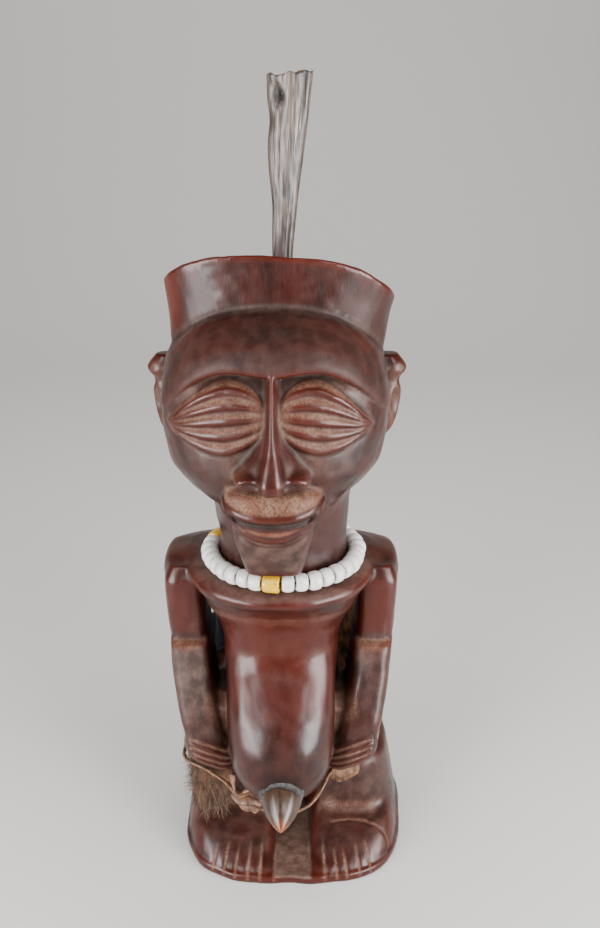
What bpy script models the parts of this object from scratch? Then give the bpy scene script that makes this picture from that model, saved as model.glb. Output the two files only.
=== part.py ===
"""A carved wooden power figure with a bead necklace, two horns and a hide tied round its hips.

The figure faces -Y and stands on the XY plane. Sizes are in millimetres and become metres when a
mesh is made. The carving is drawn for a figure of DRAWN_HEIGHT and follows FIGURE_HEIGHT; beads,
thread, horns, hide and cloth keep their own sizes and take their places from the carving.
"""

import math
from collections import namedtuple

import bmesh
import bpy
from mathutils import Matrix, Vector

MM = 0.001

# Height of the wood from the underside to the top of the crown rim.
FIGURE_HEIGHT = 328.0
DRAWN_HEIGHT = 328.0
CARVING = FIGURE_HEIGHT / DRAWN_HEIGHT

# Gap between pieces that touch, and round a piece in the seat cut for it.
CLEARANCE = 0.35
SEAT_EASE = 0.5

# The trunk stands a little to the figure's right of the plate, the head further still, and the
# head looks a trace to that side: a sideways drift for each unit of depth.
TRUNK_SHIFT = -5.5
HEAD_SHIFT = -6.4
HEAD_TURN = 0.024
HEAD_TURN_Y = -22.0

# Plate under the feet.
PLATE_HALF_WIDTH = 59.5
PLATE_FRONT = -55.5
PLATE_BACK = 72.5
PLATE_THICKNESS = 5.0
PLATE_POWER = 3.2

# Feet, with the bare strip of plate between them.
FOOT_INSET = 1.2
STRIP_HALF_WIDTH = 9.0
FOOT_CENTRE = (32.0, (PLATE_FRONT + PLATE_BACK) / 2.0)
FOOT_FLOOR = PLATE_THICKNESS - 1.5
FOOT_FULLNESS = 8.0
TOE_HEIGHT = 9.0
INSTEP_HEIGHT = 20.0
INSTEP_Y = -17.0
TOE_LINES = (-42.5, -36.3, -30.3, -23.6, -17.1, 17.2, 23.5, 28.8, 35.7, 41.5)
TOE_LINE_LENGTH = 15.0
TOE_LINE_WIDTH = 5.0

# Lines between the fingers of a hand.
FINGER_LINES = 3

# Neck, and the necklace that lies round it.
NECK_RADIUS = 31.0
NECK_CENTRE = (-4.0, -24.0)
NECKLACE_EASE = 0.6
BEAD_RADIUS = 4.4
BEAD_BORE_RADIUS = 1.4
WHITE_BEAD_LENGTH = 5.9
YELLOW_BEAD_LENGTH = 8.3
THREAD_RADIUS = 0.6
WHITES_TO_THE_LEFT = 9
WHITES_TO_THE_RIGHT = 13
WHITES_BEHIND = 10
NECKLACE_TURN = math.radians(-8.0)

# Head horn, set point down in the hollow of the crown.
HORN_TOP_WIDTH = 18.5
HORN_POINT_WIDTH = 7.0
HORN_TOP_Z = 399.0
HORN_SOCKET_DEPTH = 15.0
SOCKET_CUT_LENGTH = 40.0
HORN_FLATNESS = 0.82
HORN_LEAN = 6.0
HORN_BREAK_DEPTH = 9.0
HORN_X = 5.1
HORN_Y = -4.0

# Horn point at the foot of the belly and the packing behind it.
NAVEL_HORN_WIDTH = 19.6
NAVEL_HORN_LENGTH = 19.0
NAVEL_HORN_DROOP = math.radians(17.0)
NAVEL_POINT = (0.5, -73.0, 73.5)
PACKING_RADIUS = 10.6
PACKING_DEPTH = 7.0
PACKING_PROUD = 4.0

# Hide tied round the hips, the thong that ties it, its knot, and the cloth inside it.
HIDE_THICKNESS = 5.0
FLAP_THICKNESS = 2.4
THONG_RADIUS = 1.3
KNOT_LENGTH = 15.0
KNOT_RADIUS = 4.6
CLOTH_THICKNESS = 2.2
CLOTH_LOW = 87.0
CLOTH_HIGH = 117.0

Section = namedtuple("Section", "z half front back mid power")


def lerp(a, b, t):
    return a + (b - a) * t


def smooth(t):
    t = max(0.0, min(1.0, t))
    return t * t * (3.0 - 2.0 * t)


def signed_power(value, exponent):
    return math.copysign(abs(value) ** exponent, value)


def section_ring(section, count, centre_x=0.0):
    """Points of one level section, a rounded oblong whose front and back are of unlike depth."""
    ring = []
    for i in range(count):
        angle = 2.0 * math.pi * (i + 0.5) / count
        side = signed_power(math.cos(angle), 2.0 / section.power)
        depth = signed_power(math.sin(angle), 2.0 / section.power)
        reach = section.back - section.mid if depth > 0.0 else section.mid - section.front
        ring.append((centre_x + section.half * side, section.mid + reach * depth, section.z))
    return ring


def stacked(sections, count, centre_x=0.0):
    return [section_ring(section, count, centre_x) for section in sections]


def mirrored(rings):
    return [[(-x, y, z) for x, y, z in ring] for ring in rings]


def placed(rings, matrix):
    return [[tuple(matrix @ Vector(point)) for point in ring] for ring in rings]


def loft(name, rings, scale=CARVING):
    """Closed body through rings of equal count, each end closed by a fan."""
    bm = bmesh.new()
    rows = []
    for ring in rings:
        rows.append([bm.verts.new(Vector(point) * MM * scale) for point in ring])
    count = len(rings[0])
    for low, high in zip(rows, rows[1:]):
        for i in range(count):
            j = (i + 1) % count
            bm.faces.new((low[i], low[j], high[j], high[i]))
    for row in (rows[0], rows[-1]):
        middle = bm.verts.new(sum((v.co for v in row), Vector()) / count)
        for i in range(count):
            bm.faces.new((row[i], row[(i + 1) % count], middle))
    bmesh.ops.recalc_face_normals(bm, faces=bm.faces)
    mesh = bpy.data.meshes.new(name)
    bm.to_mesh(mesh)
    bm.free()
    return bpy.data.objects.new(name, mesh)


def ellipsoid(name, centre, radii, count=12):
    """Round body from a primitive sphere, used for lobes and pits."""
    bm = bmesh.new()
    bmesh.ops.create_uvsphere(bm, u_segments=count, v_segments=max(6, count // 2), radius=1.0)
    place = Matrix.Translation(Vector(centre)) @ Matrix.Diagonal((*radii, 1.0))
    bmesh.ops.transform(bm, matrix=Matrix.Scale(MM * CARVING, 4) @ place, verts=bm.verts)
    mesh = bpy.data.meshes.new(name)
    bm.to_mesh(mesh)
    bm.free()
    return bpy.data.objects.new(name, mesh)


def shift_head(rings):
    drift = Matrix.Identity(4)
    drift[0][1] = HEAD_TURN
    drift[0][3] = HEAD_SHIFT - HEAD_TURN * HEAD_TURN_Y
    return placed(rings, drift)


def shift_trunk(rings):
    return placed(rings, Matrix.Translation((TRUNK_SHIFT, 0.0, 0.0)))


# Plate and feet

def plate_outline(inset, count=28):
    middle = (PLATE_FRONT + PLATE_BACK) / 2.0
    section = Section(
        0.0, PLATE_HALF_WIDTH - inset, PLATE_FRONT + inset, PLATE_BACK - inset, middle, PLATE_POWER
    )
    return section_ring(section, count)


def plate_rings():
    """Thin plate with its upper and lower edges broken."""
    levels = ((0.0, 0.9), (1.0, 0.0), (PLATE_THICKNESS - 1.0, 0.0), (PLATE_THICKNESS, 0.9))
    return [[(x, y, z) for x, y, _ in plate_outline(inset)] for z, inset in levels]


def foot_height(y):
    """Top of a foot along its length: low at the toes, level behind the instep."""
    toes = PLATE_FRONT + FOOT_INSET + 3.0
    rise = smooth((y - toes) / (INSTEP_Y - toes)) ** 0.8
    return lerp(TOE_HEIGHT, INSTEP_HEIGHT, rise)


def foot_reach(angle):
    """Distance from the middle of a foot to its edge: the plate's outline or the bare strip."""
    half = PLATE_HALF_WIDTH - FOOT_INSET
    middle = (PLATE_FRONT + PLATE_BACK) / 2.0
    deep = (PLATE_BACK - PLATE_FRONT) / 2.0 - FOOT_INSET
    low, high = 0.0, half + deep
    for _ in range(30):
        reach = (low + high) / 2.0
        x = FOOT_CENTRE[0] + reach * math.cos(angle)
        y = FOOT_CENTRE[1] + reach * math.sin(angle)
        outside = abs(x / half) ** PLATE_POWER + abs((y - middle) / deep) ** PLATE_POWER > 1.0
        if outside or x < STRIP_HALF_WIDTH:
            high = reach
        else:
            low = reach
    return low


def foot_top(x, y):
    """Top of a foot: domed down towards its own edge."""
    away = math.hypot(abs(x) - FOOT_CENTRE[0], y - FOOT_CENTRE[1])
    angle = math.atan2(y - FOOT_CENTRE[1], abs(x) - FOOT_CENTRE[0])
    share = min(1.0, away / foot_reach(angle))
    dome = math.sqrt(max(0.0, 1.0 - share ** FOOT_FULLNESS))
    return lerp(FOOT_FLOOR, foot_height(y), dome)


def foot_rings(count=17):
    """One broad foot, a low dome over its share of the plate."""
    rings = []
    for share, sunk in ((1.0, 1.5), (1.0, 0.0), (0.95, 0.0), (0.83, 0.0), (0.6, 0.0)):
        ring = []
        for i in range(count):
            angle = 2.0 * math.pi * (i + 0.5) / count
            reach = foot_reach(angle) * share
            x = FOOT_CENTRE[0] + reach * math.cos(angle)
            y = FOOT_CENTRE[1] + reach * math.sin(angle)
            ring.append((x, y, foot_top(x, y) - sunk))
        rings.append(ring)
    return rings


def toe_line_rings(x):
    """Wedge that cuts one line between two toes, from the front edge back over the foot."""
    start = FOOT_CENTRE[1]
    while foot_top(x, start - 1.0) > FOOT_FLOOR + 0.5:
        start -= 1.0
    rings = []
    for share, depth in ((0.0, 4.0), (1.0, 0.3)):
        y = start + TOE_LINE_LENGTH * share
        low = foot_top(x, y) - depth
        x_here = x * (1.0 - 0.06 * share)
        width = TOE_LINE_WIDTH / 2.0
        rings.append([(x_here - width, y, low + 6.0), (x_here, y, low), (x_here + width, y, low + 6.0)])
    return rings


# Legs, trunk and belly

def leg_rings():
    sections = (
        Section(12.0, 18.5, -18.0, 45.0, 14.0, 3.4),
        Section(24.0, 17.6, -15.5, 43.0, 14.0, 3.4),
        Section(46.0, 17.4, -14.0, 43.0, 14.0, 3.2),
        Section(62.0, 18.0, -16.0, 44.0, 14.0, 3.0),
    )
    return stacked(sections, 16, 28.5)


def trunk_rings():
    """Hips, waist and flanks up to the shoulder slab."""
    sections = (
        Section(48.0, 38.0, -10.0, 42.0, 14.0, 2.6),
        Section(58.0, 42.5, -18.0, 46.0, 12.0, 2.6),
        Section(72.0, 41.5, -27.0, 45.0, 10.0, 2.6),
        Section(88.0, 36.5, -31.0, 38.0, 5.0, 2.6),
        Section(104.0, 31.0, -36.0, 31.0, 0.0, 2.6),
        Section(135.0, 27.0, -46.0, 23.0, -8.0, 2.8),
        Section(148.0, 30.5, -48.5, 21.0, -10.0, 2.8),
        Section(158.0, 37.0, -53.0, 19.0, -12.0, 2.8),
    )
    return stacked(sections, 18)


def belly_rings():
    """Long belly that swells out of the chest and turns under at the hips."""
    sections = (
        Section(52.5, 7.0, -52.0, -30.0, -42.0, 2.2),
        Section(56.5, 15.0, -63.0, -24.0, -45.0, 2.3),
        Section(68.0, 22.5, -74.0, -20.0, -45.0, 2.5),
        Section(79.0, 25.5, -77.8, -20.0, -45.0, 2.5),
        Section(92.0, 26.6, -78.0, -20.0, -44.0, 2.5),
        Section(105.0, 26.9, -74.5, -20.0, -42.0, 2.5),
        Section(117.0, 26.8, -64.5, -20.0, -38.0, 2.6),
        Section(127.0, 26.2, -54.0, -18.0, -34.0, 2.7),
        Section(136.0, 24.0, -44.5, -16.0, -26.0, 2.7),
    )
    return stacked(sections, 20)


def flank_rings():
    """Wood left uncut between the belly and the forearms."""
    sections = (
        Section(64.0, 31.0, -40.0, -8.0, -25.0, 5.0),
        Section(98.0, 35.0, -43.0, -8.0, -25.0, 5.0),
        Section(104.0, 35.0, -38.0, -8.0, -22.0, 4.0),
    )
    return stacked(sections, 12)


def chest_slab_rings():
    """Rounded front of the shoulder slab with its flat top."""
    sections = (
        Section(156.0, 33.0, -50.0, 18.0, -15.0, 2.6),
        Section(161.0, 40.5, -56.5, 19.0, -15.0, 2.4),
        Section(164.5, 45.0, -60.5, 20.0, -15.0, 2.2),
        Section(168.0, 46.5, -61.9, 20.0, -15.0, 2.15),
        Section(171.0, 45.5, -60.0, 18.0, -15.0, 2.15),
        Section(174.6, 39.0, -53.0, 14.0, -15.0, 2.2),
    )
    return stacked(sections, 24)


def shoulder_bar_rings():
    """Cross bar of the shoulders, from arm to arm behind the chest."""
    sections = (
        Section(156.5, 56.5, -24.0, 15.0, -6.0, 3.0),
        Section(162.0, 58.2, -27.0, 20.0, -6.0, 3.0),
        Section(168.0, 58.6, -27.5, 21.0, -6.0, 3.0),
        Section(171.8, 56.0, -24.0, 19.0, -6.0, 2.8),
        Section(174.8, 46.0, -16.0, 13.0, -6.0, 2.6),
    )
    return stacked(sections, 20)


def arm_rings():
    """Upper arm, the ledge at the elbow, and the forearm that leans forward to the wrist."""
    stations = (
        (167.0, 47.4, 9.0, -25.0, 8.0),
        (162.0, 48.3, 10.2, -27.0, 10.0),
        (148.0, 48.0, 10.0, -27.0, 9.0),
        (132.5, 46.8, 9.8, -26.5, 10.0),
        (130.0, 46.4, 9.9, -33.5, 9.0),
        (118.0, 45.2, 10.0, -38.5, 3.0),
        (105.0, 43.0, 10.2, -43.5, -8.0),
        (91.0, 40.2, 10.2, -48.5, -17.0),
        (80.0, 37.6, 10.2, -49.0, -20.0),
    )
    rings = []
    for z, centre, half, front, back in stations:
        section = Section(z, half, front, back, (front + back) / 2.0, 4.2)
        rings.append(section_ring(section, 12, centre))
    return rings


def hand_rings():
    """Hand laid against the belly, its fingers sloping in and down."""
    stations = (
        (48.6, 85.0, 75.0, -46.0),
        (45.4, 87.6, 71.0, -50.5),
        (36.0, 87.0, 66.4, -52.5),
        (27.0, 83.5, 65.3, -52.0),
        (23.0, 78.0, 68.5, -48.0),
    )
    rings = []
    for x, high, low, front in stations:
        back = -22.0
        middle = (high + low) / 2.0
        tall = (high - low) / 2.0
        deep = (back - front) / 2.0
        ring = []
        for i in range(8):
            angle = 2.0 * math.pi * (i + 0.5) / 8
            y = (front + back) / 2.0 + deep * signed_power(math.cos(angle), 2.0 / 5.0)
            z = middle + tall * signed_power(math.sin(angle), 2.0 / 5.0)
            ring.append((x, y, z))
        rings.append(ring)
    return rings


def finger_line_rings(index):
    """Wedge that cuts one line between two fingers."""
    width = 0.9
    outer_z = 83.0 - 3.4 * index
    inner_z = 79.2 - 4.1 * index
    rings = []
    for share in (0.0, 1.0):
        x = lerp(45.0, 21.0, share)
        z = lerp(outer_z, inner_z, share)
        depth = lerp(-51.5, -49.0, share)
        rings.append([(x, -60.0, z - width * 2.0), (x, depth + 1.0, z), (x, -60.0, z + width * 2.0)])
    return rings


# Neck and head

def neck_rings():
    """Round neck that widens into the shoulders and the jaw."""
    rings = []
    for z, wider in ((165.0, 3.0), (175.0, 0.0), (190.0, -0.4), (206.0, 0.6), (221.0, 1.0)):
        reach = NECK_RADIUS + wider
        middle = NECK_CENTRE[1]
        section = Section(z, reach, middle - reach, middle + reach, middle, 2.0)
        rings.append(section_ring(section, 18, NECK_CENTRE[0]))
    return rings


HEAD_SECTIONS = (
    Section(199.0, 27.0, -53.0, 8.0, -22.0, 2.1),
    Section(207.0, 30.5, -57.0, 10.0, -22.0, 2.2),
    Section(213.5, 34.5, -61.0, 14.0, -22.0, 2.3),
    Section(220.0, 41.2, -65.0, 18.0, -22.0, 2.4),
    Section(227.0, 46.0, -68.0, 22.0, -22.0, 2.5),
    Section(236.0, 50.0, -70.2, 26.0, -22.0, 2.6),
    Section(253.0, 52.1, -70.8, 29.5, -22.0, 2.6),
    Section(271.0, 51.0, -69.6, 31.0, -22.0, 2.6),
    Section(282.0, 45.0, -62.0, 27.0, -22.0, 2.6),
)


def face_y(x, z):
    """Front surface of the head at a place on the face."""
    pairs = list(zip(HEAD_SECTIONS, HEAD_SECTIONS[1:]))
    low, high = pairs[-1]
    for pair in pairs:
        if z <= pair[1].z:
            low, high = pair
            break
    share = max(0.0, (z - low.z) / (high.z - low.z))
    half = lerp(low.half, high.half, share)
    front = lerp(low.front, high.front, share)
    power = lerp(low.power, high.power, share)
    edge = min(1.0, abs(x) / half)
    return low.mid + (front - low.mid) * (1.0 - edge ** power) ** (1.0 / power)


def brow_z(x):
    """Height of the brow line: a shallow notch over the nose, an arch over each eye."""
    wide = abs(x)
    if wide < 17.0:
        return 280.4 + 2.2 * math.sin(wide / 17.0 * math.pi / 2.0)
    return 282.6 - 18.6 * ((wide - 17.0) / 31.0) ** 1.7


def hairline_z(x, y, mid, back):
    """Height where the crown leaves the head: high in front, low at the sides and behind."""
    arch = 1.0 - min(1.0, abs(x) / 48.5) ** 2.7
    behind = max(0.0, (y - mid) / (back - mid))
    return 281.0 + 23.2 * arch * max(0.0, 1.0 - 1.25 * behind)


def forehead_rings(count=28):
    """Forehead that stands proud of the face at the brow and slopes back to the crown."""
    stations = (
        (-0.07, 50.0, -68.5, 8.0),
        (0.0, 52.3, -72.4, 10.0),
        (0.12, 52.2, -73.2, 10.0),
        (0.42, 51.4, -69.0, 10.0),
        (0.75, 50.0, -59.0, 10.0),
        (1.0, 48.6, -46.5, 10.0),
        (1.1, 40.0, -38.0, 5.0),
    )
    rings = []
    for share, half, front, back in stations:
        ring = []
        for x, y, _ in section_ring(Section(0.0, half, front, back, -24.0, 2.5), count):
            low = brow_z(x) if y < -24.0 else 264.0
            ring.append((x, y, lerp(low, hairline_z(x, y, -24.0, 30.0), share)))
        rings.append(ring)
    return rings


def rim_z(x, y):
    """Top of the crown: arched from side to side, falling to the back and a little to the left."""
    return 328.4 - 13.0 * min(1.0, abs(x) / 52.0) ** 1.8 - 0.25 * (y + 50.0) - 0.035 * x


def crown_rings(count=28):
    """Flared band over the forehead with a shallow hollow in its top."""
    stations = (
        (-0.30, 44.0, -40.0, 24.0, 0.0),
        (0.0, 48.2, -46.0, 28.0, 0.0),
        (0.50, 48.8, -46.5, 29.0, 0.0),
        (1.0, 52.0, -50.6, 31.0, 1.4),
        (1.0, 51.0, -49.6, 30.0, 0.0),
        (1.0, 45.5, -43.6, 24.0, 0.6),
        (1.0, 36.0, -33.0, 15.0, 12.0),
    )
    rings = []
    for share, half, front, back, drop in stations:
        ring = []
        for x, y, _ in section_ring(Section(0.0, half, front, back, -10.0, 2.5), count):
            low = hairline_z(x, y, -10.0, back)
            ring.append((x, y, lerp(low, rim_z(x, y), share) - drop))
        rings.append(ring)
    return rings


EYE_INNER = 4.2
EYE_OUTER = 46.0
EYE_HALF_HEIGHT = 17.2


def eye_rings():
    """Leaf-shaped eye cut into five ridges that meet at its outer point."""
    rings = []
    for share in (0.02, 0.12, 0.3, 0.5, 0.7, 0.88, 1.0):
        x = lerp(EYE_INNER, EYE_OUTER, share)
        if share < 0.4:
            tall = EYE_HALF_HEIGHT * math.sqrt(1.0 - ((0.4 - share) / 0.4) ** 2)
        else:
            tall = EYE_HALF_HEIGHT * (1.0 - ((share - 0.4) / 0.6) ** 1.6)
        tall = max(tall, 0.9)
        middle = 264.0 - 8.0 * share ** 1.8
        lift = 2.0 * min(1.0, tall / 5.0)
        ring = []
        for k in range(11):
            z = middle + tall * (1.0 - k / 5.0)
            raised = lift if k % 2 else 0.5
            if k in (0, 10):
                raised = -0.8
            ring.append((x, face_y(x, z) - raised, z))
        ring.append((x, face_y(x, middle) + 6.0, middle - tall * 0.8))
        ring.append((x, face_y(x, middle) + 6.0, middle + tall * 0.8))
        rings.append(ring)
    return rings


def nose_rings():
    """Narrow bridge with a sharp middle edge that spreads to broad wings."""
    stations = (
        (281.0, 3.0, -73.0),
        (270.0, 3.2, -76.5),
        (258.0, 4.4, -79.5),
        (249.0, 8.5, -82.5),
        (242.0, 13.0, -85.5),
        (237.5, 15.6, -87.0),
        (234.0, 15.0, -86.5),
    )
    rings = []
    for z, half, front in stations:
        base = -63.0
        skin = face_y(0.0, z)
        ridge = lerp(skin, front, 0.55)
        cheek = lerp(skin, front, 0.25)
        ring = [(-half, base, z), (-half, skin, z), (-half * 0.85, cheek, z), (-half * 0.4, ridge, z)]
        ring.append((0.0, front, z))
        ring += [(-x, y, z) for x, y, z in reversed(ring[:4])]
        rings.append(ring)
    return rings


def mouth_rings():
    """Half-moon mouth, widest just under the nose."""
    sections = (
        Section(206.5, 8.0, -74.0, -52.0, -60.0, 2.2),
        Section(209.0, 13.0, -77.5, -52.0, -60.0, 2.3),
        Section(214.0, 18.5, -80.0, -50.0, -60.0, 2.5),
        Section(220.0, 21.8, -80.5, -50.0, -60.0, 2.7),
        Section(227.5, 22.4, -77.5, -50.0, -60.0, 2.8),
        Section(232.0, 17.0, -71.5, -50.0, -60.0, 2.5),
    )
    return stacked(sections, 18)


def mouth_slit_rings():
    """Thin crescent that parts the lips."""
    rings = []
    for share in (-1.0, -0.5, 0.0, 0.5, 1.0):
        x = 17.0 * share
        z = 216.6 + 2.0 * share * share
        tall = 1.5 * (1.0 - 0.8 * share * share)
        y = -60.0 - 20.8 * (1.0 - (abs(x) / 21.0) ** 2.5) ** 0.4
        rings.append([(x, y - 6.0, z - tall), (x, y + 3.0, z), (x, y - 6.0, z + tall)])
    return rings


def beard_rings():
    """Tapering chin block with a flat face."""
    sections = (
        Section(185.8, 13.2, -65.6, -40.0, -52.0, 4.5),
        Section(196.0, 15.8, -71.0, -40.0, -52.0, 4.5),
        Section(207.0, 18.4, -75.0, -40.0, -52.0, 4.5),
        Section(214.0, 18.8, -74.0, -40.0, -52.0, 4.5),
    )
    return stacked(sections, 16)


EAR_DROP = 3.5
EAR_Y = -3.0


def ear_rings():
    """Ear with a knob at the top, narrowing to its lobe."""
    stations = (
        (236.0, 48.5, 4.0, 3.0),
        (243.0, 51.0, 5.2, 5.0),
        (259.0, 52.4, 6.4, 6.0),
        (264.0, 52.8, 6.2, 5.4),
        (270.0, 53.6, 7.4, 6.4),
        (276.5, 51.6, 4.6, 4.0),
    )
    rings = []
    for z, centre, half, deep in stations:
        section = Section(z - EAR_DROP, half, EAR_Y - deep, EAR_Y + deep, EAR_Y, 2.4)
        rings.append(section_ring(section, 8, centre))
    return rings


# Pieces of their own

def bead_mesh(name, length):
    """One bead with its bore, turned about its own axis."""
    half = length / 2.0
    profile = (
        (BEAD_BORE_RADIUS, -half),
        (BEAD_RADIUS, -half * 0.5),
        (BEAD_RADIUS, half * 0.5),
        (BEAD_BORE_RADIUS, half),
    )
    bm = bmesh.new()
    sides = 7
    rows = []
    for radius, along in profile:
        row = []
        for i in range(sides):
            angle = 2.0 * math.pi * i / sides
            point = Vector((along, radius * math.cos(angle), radius * math.sin(angle)))
            row.append(bm.verts.new(point * MM))
        rows.append(row)
    for low, high in zip(rows, rows[1:] + rows[:1]):
        for i in range(sides):
            j = (i + 1) % sides
            bm.faces.new((low[i], low[j], high[j], high[i]))
    bmesh.ops.recalc_face_normals(bm, faces=bm.faces)
    mesh = bpy.data.meshes.new(name)
    bm.to_mesh(mesh)
    bm.free()
    return mesh


def necklace_centre():
    """Middle of the necklace, one bead radius above the top of the shoulder slab."""
    top = shoulder_bar_rings()[-1][0][2] * CARVING
    x, y = (value * CARVING for value in NECK_CENTRE)
    return Vector((x, y, top + BEAD_RADIUS + CLEARANCE))


def bead_row():
    """Names and lengths of the beads in order, starting with the yellow one in front."""
    row = [("yellow", YELLOW_BEAD_LENGTH)]
    row += [("white", WHITE_BEAD_LENGTH)] * WHITES_TO_THE_RIGHT
    row += [("yellow", YELLOW_BEAD_LENGTH)]
    row += [("white", WHITE_BEAD_LENGTH)] * WHITES_BEHIND
    row += [("yellow", YELLOW_BEAD_LENGTH)]
    row += [("white", WHITE_BEAD_LENGTH)] * WHITES_TO_THE_LEFT
    return row


def necklace_radius():
    """Radius of the thread: round the neck, and never too short for its beads."""
    needed = sum(length + CLEARANCE for _, length in bead_row()) / (2.0 * math.pi)
    return max(NECK_RADIUS * CARVING + BEAD_RADIUS + NECKLACE_EASE, needed)


def horn_rings(grow=0.0, top=None):
    """Head horn from its buried point to its broken top, with flutes along it."""
    foot = horn_foot_z()
    peak = HORN_TOP_Z if top is None else top
    rings = []
    for share in (0.0, 0.12, 0.3, 0.5, 0.72, 0.9, 1.0):
        z = lerp(foot - grow, peak, share)
        grown = (z - foot) / (HORN_TOP_Z - foot)
        half = lerp(HORN_POINT_WIDTH, HORN_TOP_WIDTH, max(0.0, grown) ** 0.85) / 2.0 + grow
        centre_x = horn_x() + HORN_LEAN * (grown - 0.5)
        ring = []
        for i in range(12):
            angle = 2.0 * math.pi * i / 12
            flute = 1.0 + 0.05 * math.cos(4.0 * angle + 0.8) * smooth(grown * 2.0)
            x = centre_x + half * flute * math.cos(angle)
            y = HORN_Y * CARVING + half * HORN_FLATNESS * flute * math.sin(angle)
            break_line = 2.2 * math.sin(angle * 2.0 + 0.6) + 1.2 * math.cos(angle * 5.0)
            z_here = z + break_line * (grow == 0.0) * (share == 1.0)
            ring.append((x, y, z_here))
        rings.append(ring)
    return rings


def horn_x():
    return (HEAD_SHIFT + HORN_X) * CARVING


def horn_foot_z():
    """Bottom of the horn, its socket depth under the floor of the crown's hollow."""
    floor = (rim_z(0.0, HORN_Y) - 12.0) * CARVING
    return floor - HORN_SOCKET_DEPTH


def hollow_horn_rings():
    """Head horn with the ragged pit in its broken top."""
    rings = horn_rings()
    top = rings[-1]
    middle = sum((Vector(point) for point in top), Vector()) / len(top)
    for share, drop in ((0.62, 1.5), (0.45, HORN_BREAK_DEPTH)):
        rings.append([tuple(middle.lerp(Vector(p), share) - Vector((0, 0, drop))) for p in top])
    return rings


def navel_matrix():
    """Place of the horn point: its axis runs forward and down from the belly."""
    point = Vector(NAVEL_POINT) + Vector((TRUNK_SHIFT, 0.0, 0.0))
    aim = Matrix.Rotation(math.pi / 2.0 + NAVEL_HORN_DROOP, 4, "X")
    return Matrix.Translation(point * CARVING) @ aim


def navel_horn_rings():
    """Ogive horn point along its own axis, from the cut edge to the tip."""
    half = NAVEL_HORN_WIDTH / 2.0
    start = PACKING_PROUD + CLEARANCE
    rings = []
    for share in (0.0, 0.06, 0.3, 0.55, 0.78, 0.93, 1.0):
        radius = half * (1.0 - share ** 2.0) ** 0.75
        radius = max(radius * (0.94 if share == 0.0 else 1.0), 0.7)
        along = start + NAVEL_HORN_LENGTH * share
        ring = []
        for i in range(14):
            angle = 2.0 * math.pi * i / 14
            ring.append((radius * math.cos(angle), radius * math.sin(angle), along))
        rings.append(ring)
    return placed(rings, navel_matrix())


def packing_rings(grow=0.0):
    """Lump of packing sunk in the belly and standing a little proud of it."""
    rings = []
    levels = (
        (-PACKING_DEPTH - grow, 0.9),
        (-1.0, 1.0),
        (PACKING_PROUD * 0.5, 1.05),
        (PACKING_PROUD, 0.85),
    )
    for along, share in levels:
        ring = []
        for i in range(14):
            angle = 2.0 * math.pi * i / 14
            lumpy = 1.0 + 0.05 * math.cos(3.0 * angle + 1.0)
            radius = PACKING_RADIUS * share * lumpy + grow
            ring.append((radius * math.cos(angle), radius * math.sin(angle), along))
        rings.append(ring)
    return placed(rings, navel_matrix())


# Hide route round the hips: x and y on the trunk's own axis, lowest and highest point.
HIDE_ROUTE = (
    (-27.0, -25.0, 30.0, 57.0),
    (-38.0, -26.5, 25.0, 59.0),
    (-47.5, -20.0, 27.0, 60.0),
    (-48.5, -3.0, 40.0, 66.0),
    (-48.5, 17.0, 55.0, 82.0),
    (-41.0, 38.0, 64.0, 97.0),
    (-24.0, 53.0, 67.0, 105.0),
    (0.0, 58.0, 66.0, 108.0),
    (24.0, 53.0, 64.0, 111.0),
    (42.0, 40.0, 66.0, 112.0),
    (51.0, 23.0, 67.0, 104.0),
    (50.5, 8.0, 66.0, 90.0),
    (48.5, -4.0, 66.0, 80.0),
)

# Short flap of hide in front of the figure's left hip.
FLAP_ROUTE = (
    (25.0, -26.5, 46.0, 57.0),
    (33.0, -26.0, 44.0, 60.0),
    (41.0, -24.0, 46.0, 61.0),
)


def route_normals(route):
    """Outward direction in plan at each station of a route round the hips."""
    normals = []
    for i in range(len(route)):
        before = Vector(route[max(0, i - 1)][:2])
        after = Vector(route[min(len(route) - 1, i + 1)][:2])
        along = (after - before).normalized()
        normals.append(Vector((-along.y, along.x)))
    return normals


def wrap_rings(route, thickness, offset=0.0):
    """Upright band of even thickness along a route, its edges rounded."""
    rings = []
    half = thickness / 2.0
    lower = [(-1.0, 0.04), (-0.5, 0.0), (0.5, 0.0), (1.0, 0.04)]
    outline = lower + [(out, 1.0 - up) for out, up in reversed(lower)]
    for (x, y, low, high), normal in zip(route, route_normals(route)):
        ring = []
        for out, up in outline:
            place = Vector((x, y)) * CARVING + normal * (offset + out * half)
            ring.append((place.x, place.y, lerp(low, high, up) * CARVING))
        rings.append(ring)
    return placed(rings, Matrix.Translation((TRUNK_SHIFT * CARVING, 0.0, 0.0)))


def cloth_route():
    """Inner course of the cloth, on the figure's right and behind."""
    route = [station for station in HIDE_ROUTE if station[1] > 15.0 and station[0] <= 0.0]
    return [(x, y, CLOTH_LOW, CLOTH_HIGH - 0.25 * abs(x + 30.0)) for x, y, _, _ in route]


# Thong route in front of the hips, where it leaves the hide and lies on the belly.
THONG_FRONT = (
    (50.0, -15.0, 62.8),
    (46.5, -22.5, 60.5),
    (41.0, -27.6, 57.5),
    (33.0, -29.8, 56.0),
    (28.0, -37.0, 62.0),
    (24.0, -48.0, 64.0),
    (19.5, -56.5, 60.5),
    (14.0, -61.5, 56.0),
    (6.0, -62.0, 52.0),
    (-3.0, -59.5, 50.5),
)


# Middle of the knot on the trunk's own axis, and the way it lies.
KNOT_CENTRE = Vector((-17.5, -55.0, 53.5))
KNOT_AIM = Vector((0.81, -0.26, -0.52)).normalized()


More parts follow.
